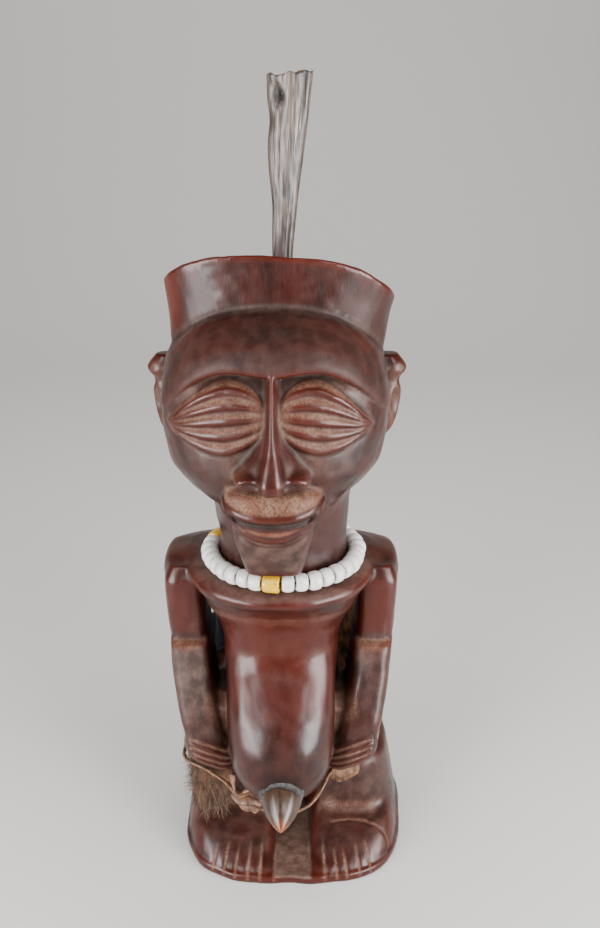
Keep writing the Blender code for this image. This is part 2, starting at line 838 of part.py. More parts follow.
def knot_end(side):
    """Where the thong meets one end of its knot."""
    reach = KNOT_LENGTH / 2.0 + THONG_RADIUS + CLEARANCE
    return tuple(KNOT_CENTRE + KNOT_AIM * side * reach / CARVING)


def thong_points():
    """Course of the thong: from its knot round the outside of the hide and back along the belly."""
    outside = HIDE_THICKNESS / 2.0 + THONG_RADIUS + 2.0 * CLEARANCE
    points = [knot_end(-1.0), (-28.5, -45.0, 57.0)]
    stations = list(zip(HIDE_ROUTE, route_normals(HIDE_ROUTE)))[1:]
    for (x, y, low, high), normal in stations:
        level = lerp(low, high, 0.55) if y > -10.0 else min(high - 5.0, 55.0)
        place = Vector((x, y)) * CARVING + normal * outside
        points.append((place.x / CARVING, place.y / CARVING, level))
    points += [*THONG_FRONT, knot_end(1.0)]
    return rounded_route(points, 2)


def rounded_route(points, steps):
    """Smooth course through chosen points."""
    course = []
    for i in range(len(points) - 1):
        a = Vector(points[max(0, i - 1)])
        b = Vector(points[i])
        c = Vector(points[i + 1])
        d = Vector(points[min(len(points) - 1, i + 2)])
        for k in range(steps):
            t = k / steps
            course.append(
                0.5 * (2.0 * b + (c - a) * t + (2.0 * a - 5.0 * b + 4.0 * c - d) * t * t
                       + (3.0 * b - a - 3.0 * c + d) * t ** 3)
            )
    course.append(Vector(points[-1]))
    return course


def tube(name, points, radius, cyclic=False, roundness=0):
    """Cord along a course, made a mesh with welded ends."""
    curve = bpy.data.curves.new(name, "CURVE")
    curve.dimensions = "3D"
    curve.bevel_depth = radius * MM
    curve.bevel_resolution = roundness
    curve.use_fill_caps = not cyclic
    spline = curve.splines.new("POLY")
    spline.points.add(len(points) - 1)
    for target, point in zip(spline.points, points):
        target.co = (*(Vector(point) * MM), 1.0)
    spline.use_cyclic_u = cyclic
    drawn = bpy.data.objects.new(name + "_course", curve)
    bpy.context.scene.collection.objects.link(drawn)
    bpy.context.view_layer.update()
    evaluated = drawn.evaluated_get(bpy.context.evaluated_depsgraph_get())
    mesh = bpy.data.meshes.new_from_object(evaluated)
    bpy.data.objects.remove(drawn)
    bm = bmesh.new()
    bm.from_mesh(mesh)
    bmesh.ops.remove_doubles(bm, verts=bm.verts, dist=0.000001)
    bmesh.ops.recalc_face_normals(bm, faces=bm.faces)
    bm.to_mesh(mesh)
    bm.free()
    mesh.name = name
    return bpy.data.objects.new(name, mesh)


def knot_rings():
    """Twisted knot of rawhide, lying across the foot of the belly."""
    aim = KNOT_AIM.to_track_quat("Z", "Y").to_matrix().to_4x4()
    shift = Vector((TRUNK_SHIFT, 0.0, 0.0))
    place = Matrix.Translation((KNOT_CENTRE + shift) * CARVING) @ aim
    rings = []
    for share in (-1.0, -0.8, -0.3, 0.2, 0.7, 1.0):
        radius = KNOT_RADIUS * (1.0 - 0.75 * abs(share) ** 3.0)
        ring = []
        for i in range(10):
            angle = 2.0 * math.pi * i / 10
            strand = 1.0 + 0.16 * math.cos(2.0 * angle + 3.2 * share)
            ring.append((
                radius * strand * math.cos(angle),
                radius * strand * math.sin(angle),
                KNOT_LENGTH / 2.0 * share,
            ))
        rings.append(ring)
    return placed(rings, place)


# Materials and assembly

def material(name, colour, roughness):
    made = bpy.data.materials.new(name)
    made.use_nodes = True
    shader = made.node_tree.nodes["Principled BSDF"]
    shader.inputs["Base Color"].default_value = (*colour, 1.0)
    shader.inputs["Roughness"].default_value = roughness
    shader.inputs["Metallic"].default_value = 0.0
    return made


def finish(obj, collection, made, sharp=40.0):
    """Put a finished piece in the object's collection with its material."""
    collection.objects.link(obj)
    obj.data.materials.clear()
    obj.data.materials.append(made)
    obj.data.shade_smooth()
    obj.data.set_sharp_from_angle(angle=math.radians(sharp))
    return obj


def operand(obj, collection):
    """Keep a body that only joins or cuts another out of the finished object."""
    obj.hide_render = True
    obj.display_type = "WIRE"
    collection.objects.link(obj)
    return obj


def boolean(obj, operation, collection):
    """Join or cut with every body of a collection; all of them are closed."""
    for body in collection.objects:
        modifier = obj.modifiers.new(body.name, "BOOLEAN")
        modifier.operation = operation
        modifier.object = body
        modifier.solver = "MANIFOLD"


def add_masses(masses):
    """Every mass of wood that the carver left standing, all one piece with the plate."""
    operand(loft("foot_l", foot_rings()), masses)
    operand(loft("foot_r", mirrored(foot_rings())), masses)
    operand(loft("leg_l", leg_rings()), masses)
    operand(loft("leg_r", mirrored(leg_rings())), masses)
    operand(loft("trunk", shift_trunk(trunk_rings())), masses)
    operand(loft("belly", shift_trunk(belly_rings())), masses)
    operand(loft("flanks", shift_trunk(flank_rings())), masses)
    operand(loft("chest_slab", shift_trunk(chest_slab_rings())), masses)
    operand(loft("shoulder_bar", shift_trunk(shoulder_bar_rings())), masses)
    operand(loft("neck", neck_rings()), masses)
    operand(loft("head", shift_head(stacked(HEAD_SECTIONS, 24))), masses)
    operand(loft("forehead", shift_head(forehead_rings())), masses)
    operand(loft("crown", shift_head(crown_rings())), masses)
    operand(loft("nose", shift_head(nose_rings())), masses)
    operand(loft("mouth", shift_head(mouth_rings())), masses)
    operand(loft("beard", shift_head(beard_rings())), masses)
    for side, reflect in (("l", list), ("r", mirrored)):
        operand(loft("arm_" + side, shift_trunk(reflect(arm_rings()))), masses)
        operand(loft("hand_" + side, shift_trunk(reflect(hand_rings()))), masses)
        operand(loft("eye_" + side, shift_head(reflect(eye_rings()))), masses)
        operand(loft("ear_" + side, shift_head(reflect(ear_rings()))), masses)
    for side in (-1.0, 1.0):
        centre = (TRUNK_SHIFT + side * 18.0, 26.0, 64.0)
        operand(ellipsoid("buttock", centre, (20.0, 22.0, 20.0), 12), masses)


def add_cuts(cuts):
    """What the carver took away again, and the seats of the pieces that the wood holds."""
    for x in TOE_LINES:
        operand(loft("toe_line", toe_line_rings(x)), cuts)
    for index in range(FINGER_LINES):
        for reflect in (list, mirrored):
            operand(loft("finger_line", shift_trunk(reflect(finger_line_rings(index)))), cuts)
    operand(loft("mouth_slit", shift_head(mouth_slit_rings())), cuts)
    for side in (-1.0, 1.0):
        nostril = shift_head([[(side * 8.2, -80.0, 233.8)]])[0][0]
        operand(ellipsoid("nostril", nostril, (4.4, 3.6, 2.6), 10), cuts)
        hollow = shift_head([[(side * 57.5, EAR_Y - 6.0, 255.0 - EAR_DROP)]])[0][0]
        operand(ellipsoid("ear_hollow", hollow, (3.2, 4.0, 9.0), 10), cuts)
    socket = horn_rings(grow=SEAT_EASE, top=horn_foot_z() + SOCKET_CUT_LENGTH)
    operand(loft("horn_socket", socket, 1.0), cuts)
    operand(loft("packing_seat", packing_rings(SEAT_EASE), 1.0), cuts)


def scaled_thong():
    shift = Vector((TRUNK_SHIFT, 0.0, 0.0))
    return [(point + shift) * CARVING for point in thong_points()]


def add_beads(collection, glass):
    """Beads on their thread, the slack shared out evenly between them."""
    row = bead_row()
    radius = necklace_radius()
    centre = necklace_centre()
    slack = (2.0 * math.pi * radius - sum(length for _, length in row)) / len(row)
    meshes = {
        "white": bead_mesh("bead_white", WHITE_BEAD_LENGTH),
        "yellow": bead_mesh("bead_yellow", YELLOW_BEAD_LENGTH),
    }
    counts = {"white": 0, "yellow": 0}
    travelled = -row[0][1] / 2.0
    for colour, length in row:
        angle = NECKLACE_TURN - math.pi / 2.0 + (travelled + length / 2.0) / radius
        counts[colour] += 1
        bead = bpy.data.objects.new(f"bead_{colour}_{counts[colour]:02d}", meshes[colour])
        out = Vector((math.cos(angle), math.sin(angle), 0.0))
        bead.location = (centre + out * radius) * MM
        bead.rotation_euler = (0.0, 0.0, angle + math.pi / 2.0)
        finish(bead, collection, glass[colour])
        travelled += length + slack


def add_thread(collection, made):
    radius = necklace_radius()
    centre = necklace_centre()
    steps = 32
    points = []
    for i in range(steps):
        angle = 2.0 * math.pi * i / steps
        points.append(centre + Vector((math.cos(angle), math.sin(angle), 0.0)) * radius)
    finish(tube("necklace_thread", points, THREAD_RADIUS, True), collection, made)


def main():
    for obj in list(bpy.data.objects):
        bpy.data.objects.remove(obj)
    scene = bpy.context.scene
    parts = bpy.data.collections.new("power_figure")
    masses = bpy.data.collections.new("wood_left_standing")
    cuts = bpy.data.collections.new("wood_cut_away")
    for collection in (parts, masses, cuts):
        scene.collection.children.link(collection)

    wood = material("oiled_hardwood", (0.115, 0.038, 0.025), 0.32)
    horn = material("weathered_horn", (0.10, 0.085, 0.08), 0.6)
    polished = material("polished_horn", (0.22, 0.11, 0.07), 0.2)
    resin = material("resin_packing", (0.07, 0.075, 0.08), 0.85)
    white = material("white_glass", (0.86, 0.85, 0.82), 0.12)
    yellow = material("yellow_glass", (0.82, 0.56, 0.05), 0.15)
    thread = material("cotton_thread", (0.35, 0.30, 0.24), 0.9)
    rawhide = material("rawhide", (0.42, 0.24, 0.13), 0.6)
    fur = material("fur_on_hide", (0.16, 0.10, 0.06), 0.95)
    cloth = material("indigo_cloth", (0.03, 0.028, 0.042), 0.9)

    add_masses(masses)
    add_cuts(cuts)
    figure = finish(loft("figure", plate_rings()), parts, wood, 35.0)
    boolean(figure, "UNION", masses)
    boolean(figure, "DIFFERENCE", cuts)
    weld = figure.modifiers.new("weld the slivers that joining leaves", "WELD")
    weld.merge_threshold = 0.0001

    finish(loft("head_horn", hollow_horn_rings(), 1.0), parts, horn)
    finish(loft("navel_horn_tip", navel_horn_rings(), 1.0), parts, polished)
    finish(loft("navel_packing", packing_rings(), 1.0), parts, resin)
    add_beads(parts, {"white": white, "yellow": yellow})
    add_thread(parts, thread)
    finish(tube("hip_thong", scaled_thong(), THONG_RADIUS), parts, rawhide)
    finish(loft("hide_knot", knot_rings(), 1.0), parts, rawhide)
    finish(loft("hip_hide", wrap_rings(HIDE_ROUTE, HIDE_THICKNESS), 1.0), parts, fur)
    finish(loft("hide_flap", wrap_rings(FLAP_ROUTE, FLAP_THICKNESS), 1.0), parts, rawhide)
    inside = -(HIDE_THICKNESS / 2.0 + 2.0 * CLEARANCE + CLOTH_THICKNESS / 2.0)
    finish(loft("back_cloth", wrap_rings(cloth_route(), CLOTH_THICKNESS, inside), 1.0), parts, cloth)


main()
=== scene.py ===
"""Dress of a carved wooden power figure: the wood with its carving and patina, two horns, beads,
the hide tied round the hips and the cloth tucked behind it, laid out as a Blender add-on."""

import math

import bmesh
import bpy
import numpy as np
from bpy.props import FloatProperty, FloatVectorProperty, IntProperty, PointerProperty
from mathutils import Matrix, Vector


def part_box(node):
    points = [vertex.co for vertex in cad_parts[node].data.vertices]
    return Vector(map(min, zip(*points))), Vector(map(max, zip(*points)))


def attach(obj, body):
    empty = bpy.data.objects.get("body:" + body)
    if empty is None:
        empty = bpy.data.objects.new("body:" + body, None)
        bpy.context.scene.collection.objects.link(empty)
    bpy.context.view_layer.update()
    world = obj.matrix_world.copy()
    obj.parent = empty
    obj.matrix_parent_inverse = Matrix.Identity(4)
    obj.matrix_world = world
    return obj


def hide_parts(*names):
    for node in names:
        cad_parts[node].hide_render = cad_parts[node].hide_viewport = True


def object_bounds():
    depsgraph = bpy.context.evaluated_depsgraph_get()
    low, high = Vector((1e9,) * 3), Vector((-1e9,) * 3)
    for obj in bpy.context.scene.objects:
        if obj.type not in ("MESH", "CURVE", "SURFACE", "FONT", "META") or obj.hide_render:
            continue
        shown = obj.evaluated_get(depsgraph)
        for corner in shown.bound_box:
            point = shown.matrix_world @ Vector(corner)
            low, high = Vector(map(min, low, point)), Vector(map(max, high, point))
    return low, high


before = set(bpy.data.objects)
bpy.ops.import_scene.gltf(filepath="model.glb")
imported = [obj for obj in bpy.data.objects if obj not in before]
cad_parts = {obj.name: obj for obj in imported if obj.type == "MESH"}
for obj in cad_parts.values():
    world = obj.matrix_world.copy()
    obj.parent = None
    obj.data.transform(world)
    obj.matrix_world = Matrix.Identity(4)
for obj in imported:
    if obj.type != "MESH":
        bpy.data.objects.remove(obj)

bl_info = {
    "name": "Carved power figure",
    "version": (1, 0, 0),
    "blender": (4, 5, 0),
    "location": "View3D > Sidebar > Figure",
    "description": "Builds the carved figure, its horns, beads, hide and cloth",
    "category": "Add Mesh",
}

CAD_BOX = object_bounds()
MM = 0.001

# The trunk stands a little to the figure's right of its plate, and the head further still.
TRUNK_SHIFT = -5.5
HEAD_SHIFT = -7.2
HEAD_TURN = 0.014


# Arithmetic shared by the pieces

def lerp(a, b, t):
    return a + (b - a) * t


def ramp(value, low, high):
    """Smooth step from 0 at low to 1 at high."""
    t = np.clip((value - low) / (high - low), 0.0, 1.0)
    return t * t * (3.0 - 2.0 * t)


def hump(value, middle, width):
    """Round bump of height 1 at the middle."""
    return np.exp(-(((value - middle) / width) ** 2))


def waves(points, spacing, seed, count=10):
    """Even, wandering values from -1 to 1 whose features are about spacing millimetres apart."""
    turn = np.random.default_rng(seed)
    total = np.zeros(len(points))
    for _ in range(count):
        way = turn.normal(size=3)
        way *= 2.0 * math.pi / (spacing * turn.uniform(0.8, 1.6) * np.linalg.norm(way))
        total += np.sin(points @ way + turn.uniform(0.0, 2.0 * math.pi))
    return total / math.sqrt(count * 2.0)


def column_slopes(at, values):
    """Slopes for a curve through the values that never overshoots them."""
    steps = np.diff(at)
    rises = np.diff(values) / steps
    slopes = np.zeros_like(values)
    same = rises[:-1] * rises[1:] > 0.0
    before, after = 2.0 * steps[1:] + steps[:-1], steps[1:] + 2.0 * steps[:-1]
    inner = np.zeros(len(values) - 2)
    inner[same] = (before + after)[same] / (
        before[same] / rises[:-1][same] + after[same] / rises[1:][same]
    )
    slopes[1:-1] = inner
    slopes[0], slopes[-1] = rises[0], rises[-1]
    return slopes


def read_table(table, at):
    """Columns of a table of sections, read smoothly at any places along its first column."""
    table = np.array(table, float)
    keys = table[:, 0]
    place = np.clip(at, keys[0], keys[-1])
    i = np.clip(np.searchsorted(keys, place, side="right") - 1, 0, len(keys) - 2)
    width = keys[i + 1] - keys[i]
    t = (place - keys[i]) / width
    columns = []
    for values in table[:, 1:].T:
        slopes = column_slopes(keys, values)
        columns.append(
            (2 * t**3 - 3 * t**2 + 1) * values[i]
            + (t**3 - 2 * t**2 + t) * width * slopes[i]
            + (3 * t**2 - 2 * t**3) * values[i + 1]
            + (t**3 - t**2) * width * slopes[i + 1]
        )
    return columns


# Wood as a volume: every form gives its distance inside (below 0) or outside (above 0) the wood

def oblong(x, y, half, front, back, mid, power):
    """Distance to a rounded oblong section whose front and back are of unlike depth."""
    dy = y - mid
    depth = np.abs(dy) / np.where(dy > 0.0, back - mid, mid - front)
    norm = ((np.abs(x) / half) ** power + depth**power) ** (1.0 / power)
    reach = np.sqrt(x * x + dy * dy)
    return reach * (1.0 - 1.0 / np.maximum(norm, 0.02))


def melted(first, second, blend):
    """Where both forms stand, with their common edge rubbed round by the blend's size."""
    h = np.clip(0.5 - 0.5 * (first - second) / blend, 0.0, 1.0)
    return first * (1.0 - h) + second * h + blend * h * (1.0 - h)


def between_ends(body, table, along):
    """Form stopped at the first and the last section of its table."""
    return np.maximum(body, np.maximum(along - table[-1][0], table[0][0] - along))


def turned_form(table, x, y, z):
    """Form through level sections (height, half width, front, back, middle, fullness)."""
    return between_ends(oblong(x, y, *read_table(table, z)), table, z)


def oval(x, y, z, centre, radii):
    """Distance to an egg-shaped lobe or pit."""
    cx, cy, cz = centre
    rx, ry, rz = radii
    norm = np.sqrt(((x - cx) / rx) ** 2 + ((y - cy) / ry) ** 2 + ((z - cz) / rz) ** 2)
    return (norm - 1.0) * min(radii)


class Billet:
    """Block of wood on a fine grid, joined and cut by forms."""

    def __init__(self, low, high, pitch):
        self.pitch = pitch
        self.low = np.array(low, float)
        shape = np.ceil((np.array(high, float) - self.low) / pitch).astype(int) + 1
        self.value = np.full(shape, 9.0, np.float32)
        self.axes = [self.low[k] + pitch * np.arange(shape[k]) for k in range(3)]

    def window(self, low, high):
        """Slices and coordinates of the part of the grid round a form."""
        parts = []
        for axis, a, b in zip(self.axes, low, high):
            parts.append(slice(np.searchsorted(axis, a - 4.0), np.searchsorted(axis, b + 4.0)))
        x, y, z = (axis[part] for axis, part in zip(self.axes, parts))
        return tuple(parts), x[:, None, None], y[None, :, None], z[None, None, :]

    def join(self, low, high, form, blend=1.0):
        """Leave a form standing, with a hollow of the blend's size where it meets the rest."""
        part, x, y, z = self.window(low, high)
        other = form(x, y, z)
        here = self.value[part]
        if callable(blend):
            blend = blend(z)
        self.value[part] = -melted(-here, -other, blend)

    def cut(self, low, high, form, blend=0.5):
        """Take a form away, with its edges rubbed round by the blend's size."""
        part, x, y, z = self.window(low, high)
        self.value[part] = melted(self.value[part], -form(x, y, z), blend)

    def soften(self, times):
        """Rub every edge a little, once or more along each axis."""
        for _ in range(times):
            for k in range(3):
                ends = [(1, 1) if j == k else (0, 0) for j in range(3)]
                padded = np.pad(self.value, ends, mode="edge")
                low = [slice(None)] * 3
                high = list(low)
                low[k], high[k] = slice(None, -2), slice(2, None)
                self.value = 0.5 * self.value + 0.25 * (padded[tuple(low)] + padded[tuple(high)])

    def settle(self):
        """Fill the single places where two surfaces would touch at an edge only."""
        value = self.value
        for _ in range(12):
            mended = 0
            for k in range(3):
                plane = np.moveaxis(value, k, 0)
                a, b = plane[:, :-1, :-1], plane[:, 1:, :-1]
                c, d = plane[:, :-1, 1:], plane[:, 1:, 1:]
                across = (a < 0.0) & (d < 0.0) & (b >= 0.0) & (c >= 0.0)
                against = (a >= 0.0) & (d >= 0.0) & (b < 0.0) & (c < 0.0)
                b[across] = -0.05
                a[against] = -0.05
                mended += int(across.sum() + against.sum())
            if not mended:
                return

    def read(self, points):
        """Field at any places, between the grid's own."""
        place = (points - self.low) / self.pitch
        cell = np.clip(place.astype(int), 0, np.array(self.value.shape) - 2)
        t = place - cell
        total = np.zeros(len(points))
        for corner in np.ndindex(2, 2, 2):
            weight = np.prod(np.where(corner, t, 1.0 - t), axis=1)
            total += weight * self.value[tuple((cell + corner).T)]
        return total

    def skin(self):
        """Points and four-sided faces of the surface between wood and air."""
        value = self.value
        inside = value < 0.0
        cells = [slice(None, -1), slice(1, None)]
        count = sum(
            inside[a, b, c].astype(np.uint8) for a in cells for b in cells for c in cells
        )
        busy = np.argwhere((count > 0) & (count < 8))
        number = np.full(count.shape, -1, np.int32)
        number[tuple(busy.T)] = np.arange(len(busy))
        corners = {}
        for a in (0, 1):
            for b in (0, 1):
                for c in (0, 1):
                    corners[a, b, c] = value[busy[:, 0] + a, busy[:, 1] + b, busy[:, 2] + c]
        total = np.zeros((len(busy), 3))
        crossings = np.zeros(len(busy))
        for start in corners:
            for k in range(3):
                if start[k]:
                    continue
                end = tuple(start[j] + (j == k) for j in range(3))
                va, vb = corners[start], corners[end]
                crosses = (va < 0.0) != (vb < 0.0)
                t = np.where(crosses, va / np.where(crosses, va - vb, 1.0), 0.0)
                place = np.tile(np.array(start, float), (len(busy), 1))
                place[:, k] += t
                total += place * crosses[:, None]
                crossings += crosses
        points = self.low + self.pitch * (busy + total / crossings[:, None])
        faces = []
        for k in range(3):
            near = [slice(1, -1)] * 3
            near[k] = slice(None, -1)
            far = list(near)
            far[k] = slice(1, None)
            first, second = inside[tuple(near)], inside[tuple(far)]
            edges = np.argwhere(first != second)
            leaving = first[tuple(edges.T)]
            edges += [0 if j == k else 1 for j in range(3)]
            u, v = [np.eye(3, dtype=int)[(k + j) % 3] for j in (1, 2)]
            around = [edges - u - v, edges - v, edges, edges - u]
            quads = np.stack([number[tuple(cell.T)] for cell in around], 1)
            quads[~leaving] = quads[~leaving][:, ::-1]
            faces.append(quads)
        return points, np.concatenate(faces)


# Places on the carving

def head_x(x, y):
    """Distance from the middle plane of the head, which looks a little to the figure's right."""
    return x - HEAD_SHIFT - HEAD_TURN * (y + 22.0)


# Plate: half width, front, back, middle and fullness; the feet stand on it a little inside its edge.
PLATE = (59.5, -55.5, 72.5, 8.5, 3.2)
PLATE_THICKNESS = 5.0
FOOT_INSET = 1.2
FOOT_EDGE_Z = 3.2
FOOT_FRONT_Z = 9.0
FOOT_BACK_Z = 20.0
# Bare strip of plate between the feet.
STRIP_HALF_WIDTH = 9.0
# Cuts between the toes: place at the front edge and length.
TOE_LINES = (-42.5, -36.3, -30.3, -23.6, -17.1, -9.6, 17.2, 23.5, 28.8, 35.7, 41.5)
TOE_LENGTHS = (10.0, 13.0, 14.0, 16.0, 19.0, 8.0, 19.0, 14.0, 12.0, 12.0, 11.0)

# Level sections: height, half width, front, back, middle, fullness.
LEG_MIDDLE = 28.5
LEG = (
    (8, 18.5, -18, 45, 14, 3.6),
    (24, 17.6, -15.5, 43, 14, 3.8),
    (46, 17.4, -14, 43, 14, 3.6),
    (62, 18, -16, 44, 14, 3),
)
TRUNK = (
    (48, 36, -8, 42, 14, 2.6),
    (58, 42, -18, 46, 12, 2.6),
    (72, 41.5, -27, 45, 10, 2.6),
    (88, 36.5, -31, 38, 5, 2.6),
    (104, 31, -36, 31, 0, 2.6),
    (135, 27, -46, 23, -8, 2.8),
    (146, 31.5, -49.5, 21, -10, 3),
    (155, 37, -54, 19, -12, 3),
    (162, 40.4, -56.8, 18, -12, 2.8),
)
BELLY = (
    (54.5, 1, -47, -36, -42, 2),
    (56, 8, -53, -30, -42, 2.2),
    (60, 15, -63.5, -24, -45, 2.3),
    (70, 22, -74, -20, -45, 2.5),
    (80, 25.4, -77.8, -20, -45, 2.5),
    (92, 26.6, -78, -20, -44, 2.5),
    (105, 26.9, -73, -20, -42, 2.5),
    (117, 26.8, -63, -20, -38, 2.6),
    (127, 26.6, -54.5, -18, -34, 2.7),
    (136, 26.4, -50, -16, -26, 2.7),
    (146, 26, -47.5, -14, -24, 2.7),
    (154, 25, -46, -14, -24, 2.7),
)
FLANKS = (
    (64, 31, -40, -8, -25, 5),
    (98, 35, -43, -8, -25, 5),
    (104, 34, -36, -8, -22, 4),
)
CHEST_SLAB = (
    (158, 36, -53.5, 18, -15, 2.6),
    (162.5, 41.5, -58.2, 19, -15, 2.4),
    (165.6, 45.4, -61, 20, -15, 2.2),
    (168.2, 46.5, -61.9, 20, -15, 2.15),
    (171, 45.5, -60, 18, -15, 2.15),
    (174.6, 39, -53, 14, -15, 2.2),
)
SHOULDER_BAR = (
    (156.5, 56.5, -24, 15, -6, 3),
    (162, 58.2, -27, 20, -6, 3),
    (168, 58.6, -27.5, 21, -6, 3),
    (171.8, 56, -24, 19, -6, 2.8),
    (174.8, 46, -16, 13, -6, 2.6),
)
# Lines scored under the slab: height and half width.
CHEST_LINES = ((158.4, 0.2), (156.6, 0.16))
# Arm: height, middle, half width, front, back.
ARM = (
    (80, 37.6, 10.2, -49, -20),
    (91, 40.2, 10.2, -48.5, -17),
    (105, 43, 10.2, -43.5, -8),
    (118, 45.2, 10, -38, 3),
    (130.2, 46.4, 9.9, -33, 9),
    (131.6, 46.8, 9.7, -28.4, 10),
    (148, 48, 10, -28.2, 9),
    (162, 48.3, 10.2, -28, 10),
    (170.5, 47, 9, -25, 12),
)
FINGER_LINES = 4
# Hand: distance from the middle of the trunk, top, bottom, front.
HAND = (
    (21, 76, 69.5, -45),
    (23, 79, 67.5, -48.5),
    (29, 82.5, 66.6, -52),
    (36, 86, 69, -52.5),
    (45.4, 88.5, 73.5, -50.8),
    (48.6, 86, 78, -46),
)
NECK_RADIUS = 31.0
NECK_CENTRE = (-4.0, -24.0)
# Head: level sections on its own axis, as for the trunk.
HEAD = (
    (190, 20, -42, 0, -22, 2),
    (199, 26, -53, 8, -22, 2.1),
    (207, 27.6, -57, 10, -22, 2.2),
    (213.5, 31.2, -61, 14, -22, 2.3),
    (220, 38, -65, 18, -22, 2.4),
    (227, 44.6, -68, 22, -22, 2.5),
    (236, 49.8, -70.2, 26, -22, 2.6),
    (253, 52.1, -70.8, 29.5, -22, 2.6),
    (271, 51, -69.6, 31, -22, 2.6),
    (282, 45, -62, 27, -22, 2.6),
)
# Forehead and crown: share of the way up, half width, front, back.
FOREHEAD = (
    (-0.07, 50, -68.5, 8),
    (0, 52.2, -71.2, 20),
    (0.12, 52.2, -71.7, 26),
    (0.42, 51.4, -69, 29),
    (0.75, 50, -59, 28),
    (1, 48.6, -46.5, 27),
    (1.1, 40, -38, 20),
)
CROWN = (
    (-0.30, 44, -40, 24),
    (0, 49.4, -45.6, 28),
    (0.50, 50.4, -46, 29),
    (0.85, 51.8, -46.6, 30.4),
    (1, 52.7, -47.2, 31),
)
# Hollow of the crown: depth, and half width, front, back, middle and fullness of its wall at the rim.
CROWN_HOLLOW = 12.0
CROWN_WALL = (46.4, -42.4, 24.4, -10.0, 2.6)
RIM_Z = 328.2
RIM_ARCH = 12.4
RIM_HALF_WIDTH = 53.0
RIM_FALL_BACK = 0.25
RIM_FALL_LEFT = 0.04
# Chips of the rim: depth, place and width.
RIM_CHIPS = ((0.35, -21.0, 2.0), (0.3, -33.0, 1.4), (0.25, 6.0, 2.6))
# Nose: height, half width, front.
NOSE = (
    (233, 14.6, -85.8),
    (237.5, 15.8, -87),
    (242, 13.2, -85.5),
    (249, 8.5, -82.5),
    (258, 4.4, -79.5),
    (270, 3.2, -76.5),
    (282, 3, -73),
)
MOUTH = (
    (205.6, 3, -71, -52, -60, 2),
    (206.5, 8, -74, -52, -60, 2.2),
    (209, 13, -77.5, -52, -60, 2.3),
    (214, 18.5, -80, -50, -60, 2.5),
    (220, 21.8, -80.5, -50, -60, 2.7),
    (227.5, 22.4, -77.5, -50, -60, 2.8),
    (232, 17, -71.5, -50, -60, 2.5),
)
BEARD = (
    (185.8, 13, -65.6, -40, -52, 4.5),
    (196, 15.6, -71, -40, -52, 4.5),
    (207, 18.2, -75, -40, -52, 4.5),
    (214, 18.8, -74, -40, -52, 4.5),
)
# Ear: height, middle, half width, half depth.
EAR = (
    (234, 48.5, 3, 2.4),
    (243, 51.8, 5.4, 5),
    (259, 53.4, 6.4, 6.2),
    (263.5, 53.2, 5.6, 5),
    (270, 54.6, 7.4, 6.6),
    (277, 52.6, 5, 4.2),
)
EAR_DROP = 3.5
EAR_Y = -3.0
# Lobes of the ear's hollow: centre and radii.
EAR_HOLLOWS = (
    ((58.4, -9.4, 249.5), (3.9, 4.2, 10)),
    ((61.6, -7.5, 262), (4.4, 3.4, 1.7)),
    ((60.5, -9.8, 267.5), (2.6, 2.6, 2.2)),
)
NOSE_WING = ((9.8, -74.6, 237.0), (7.0, 8.2, 3.9))
NOSTRIL = ((9.8, -83.0, 235.4), (5.6, 3.6, 2.5))
# Eyes: ends, how much nearer the left eye's end is, half height, share along where they are fullest.
EYE_INNER = 2.6
EYE_OUTER = 46.4
EYE_OVER = 1.9
EYE_HALF_HEIGHT = 16.6
EYE_FULLEST = 0.4
EYE_Z = 263.6
EYE_DROOP = 8.0
EYE_BANDS = 5
BROW_Z = 280.6
BROW_NOTCH = 2.2
BROW_NOTCH_HALF_WIDTH = 17.0
BROW_FALL = 21.0
HAIRLINE_Z = 281.0
HAIRLINE_ARCH = 23.2
HAIRLINE_HALF_WIDTH = 48.5
LIP_Z = 205.6
LIP_RISE = 15.0
LIP_HALF_WIDTH = 22.4
SLIT_Z = 216.6
SLIT_RISE = 2.0
SLIT_HALF_WIDTH = 17.0
# Fuller hip: middle across, level of its top, radius of its upper edge.
HAUNCH_X = 33.0
HAUNCH_Z = 47.0
HAUNCH_ROUND = 5.0


def foot_top(x, y):
    """Height of the upper side of the feet, two low domes over the plate."""
    half, front, back, mid, power = PLATE
    edge = oblong(x, y, half - FOOT_INSET, front + FOOT_INSET, back - FOOT_INSET, mid, power)
    across = STRIP_HALF_WIDTH - np.abs(x)
    edge = melted(edge, across, 7.0)
    rise = ramp(y, front + 4.2, -17.0) ** 0.8
    height = lerp(FOOT_FRONT_Z, FOOT_BACK_Z, rise)
    share = np.clip(-edge / 9.5, 0.0, 1.0)
    return FOOT_EDGE_Z + (height - FOOT_EDGE_Z) * (1.0 - (1.0 - share) ** 2.2) ** 0.6


def brow_z(x):
    """Height of the brow line: a shallow notch over the nose and an arch over each eye."""
    wide = np.abs(x)
    notch = BROW_NOTCH_HALF_WIDTH
    inner = BROW_Z + BROW_NOTCH * np.sin(np.minimum(wide, notch) / notch * math.pi / 2.0)
    return inner - BROW_FALL * (np.maximum(wide - notch, 0.0) / 31.0) ** 1.9


def hairline_z(x, y, mid, back):
    """Height where the crown leaves the head."""
    arch = 1.0 - np.minimum(1.0, np.abs(x) / HAIRLINE_HALF_WIDTH) ** 2.7
    behind = np.maximum(0.0, (y - mid) / (back - mid))
    return HAIRLINE_Z + HAIRLINE_ARCH * arch * np.maximum(0.0, 1.0 - 1.25 * behind)


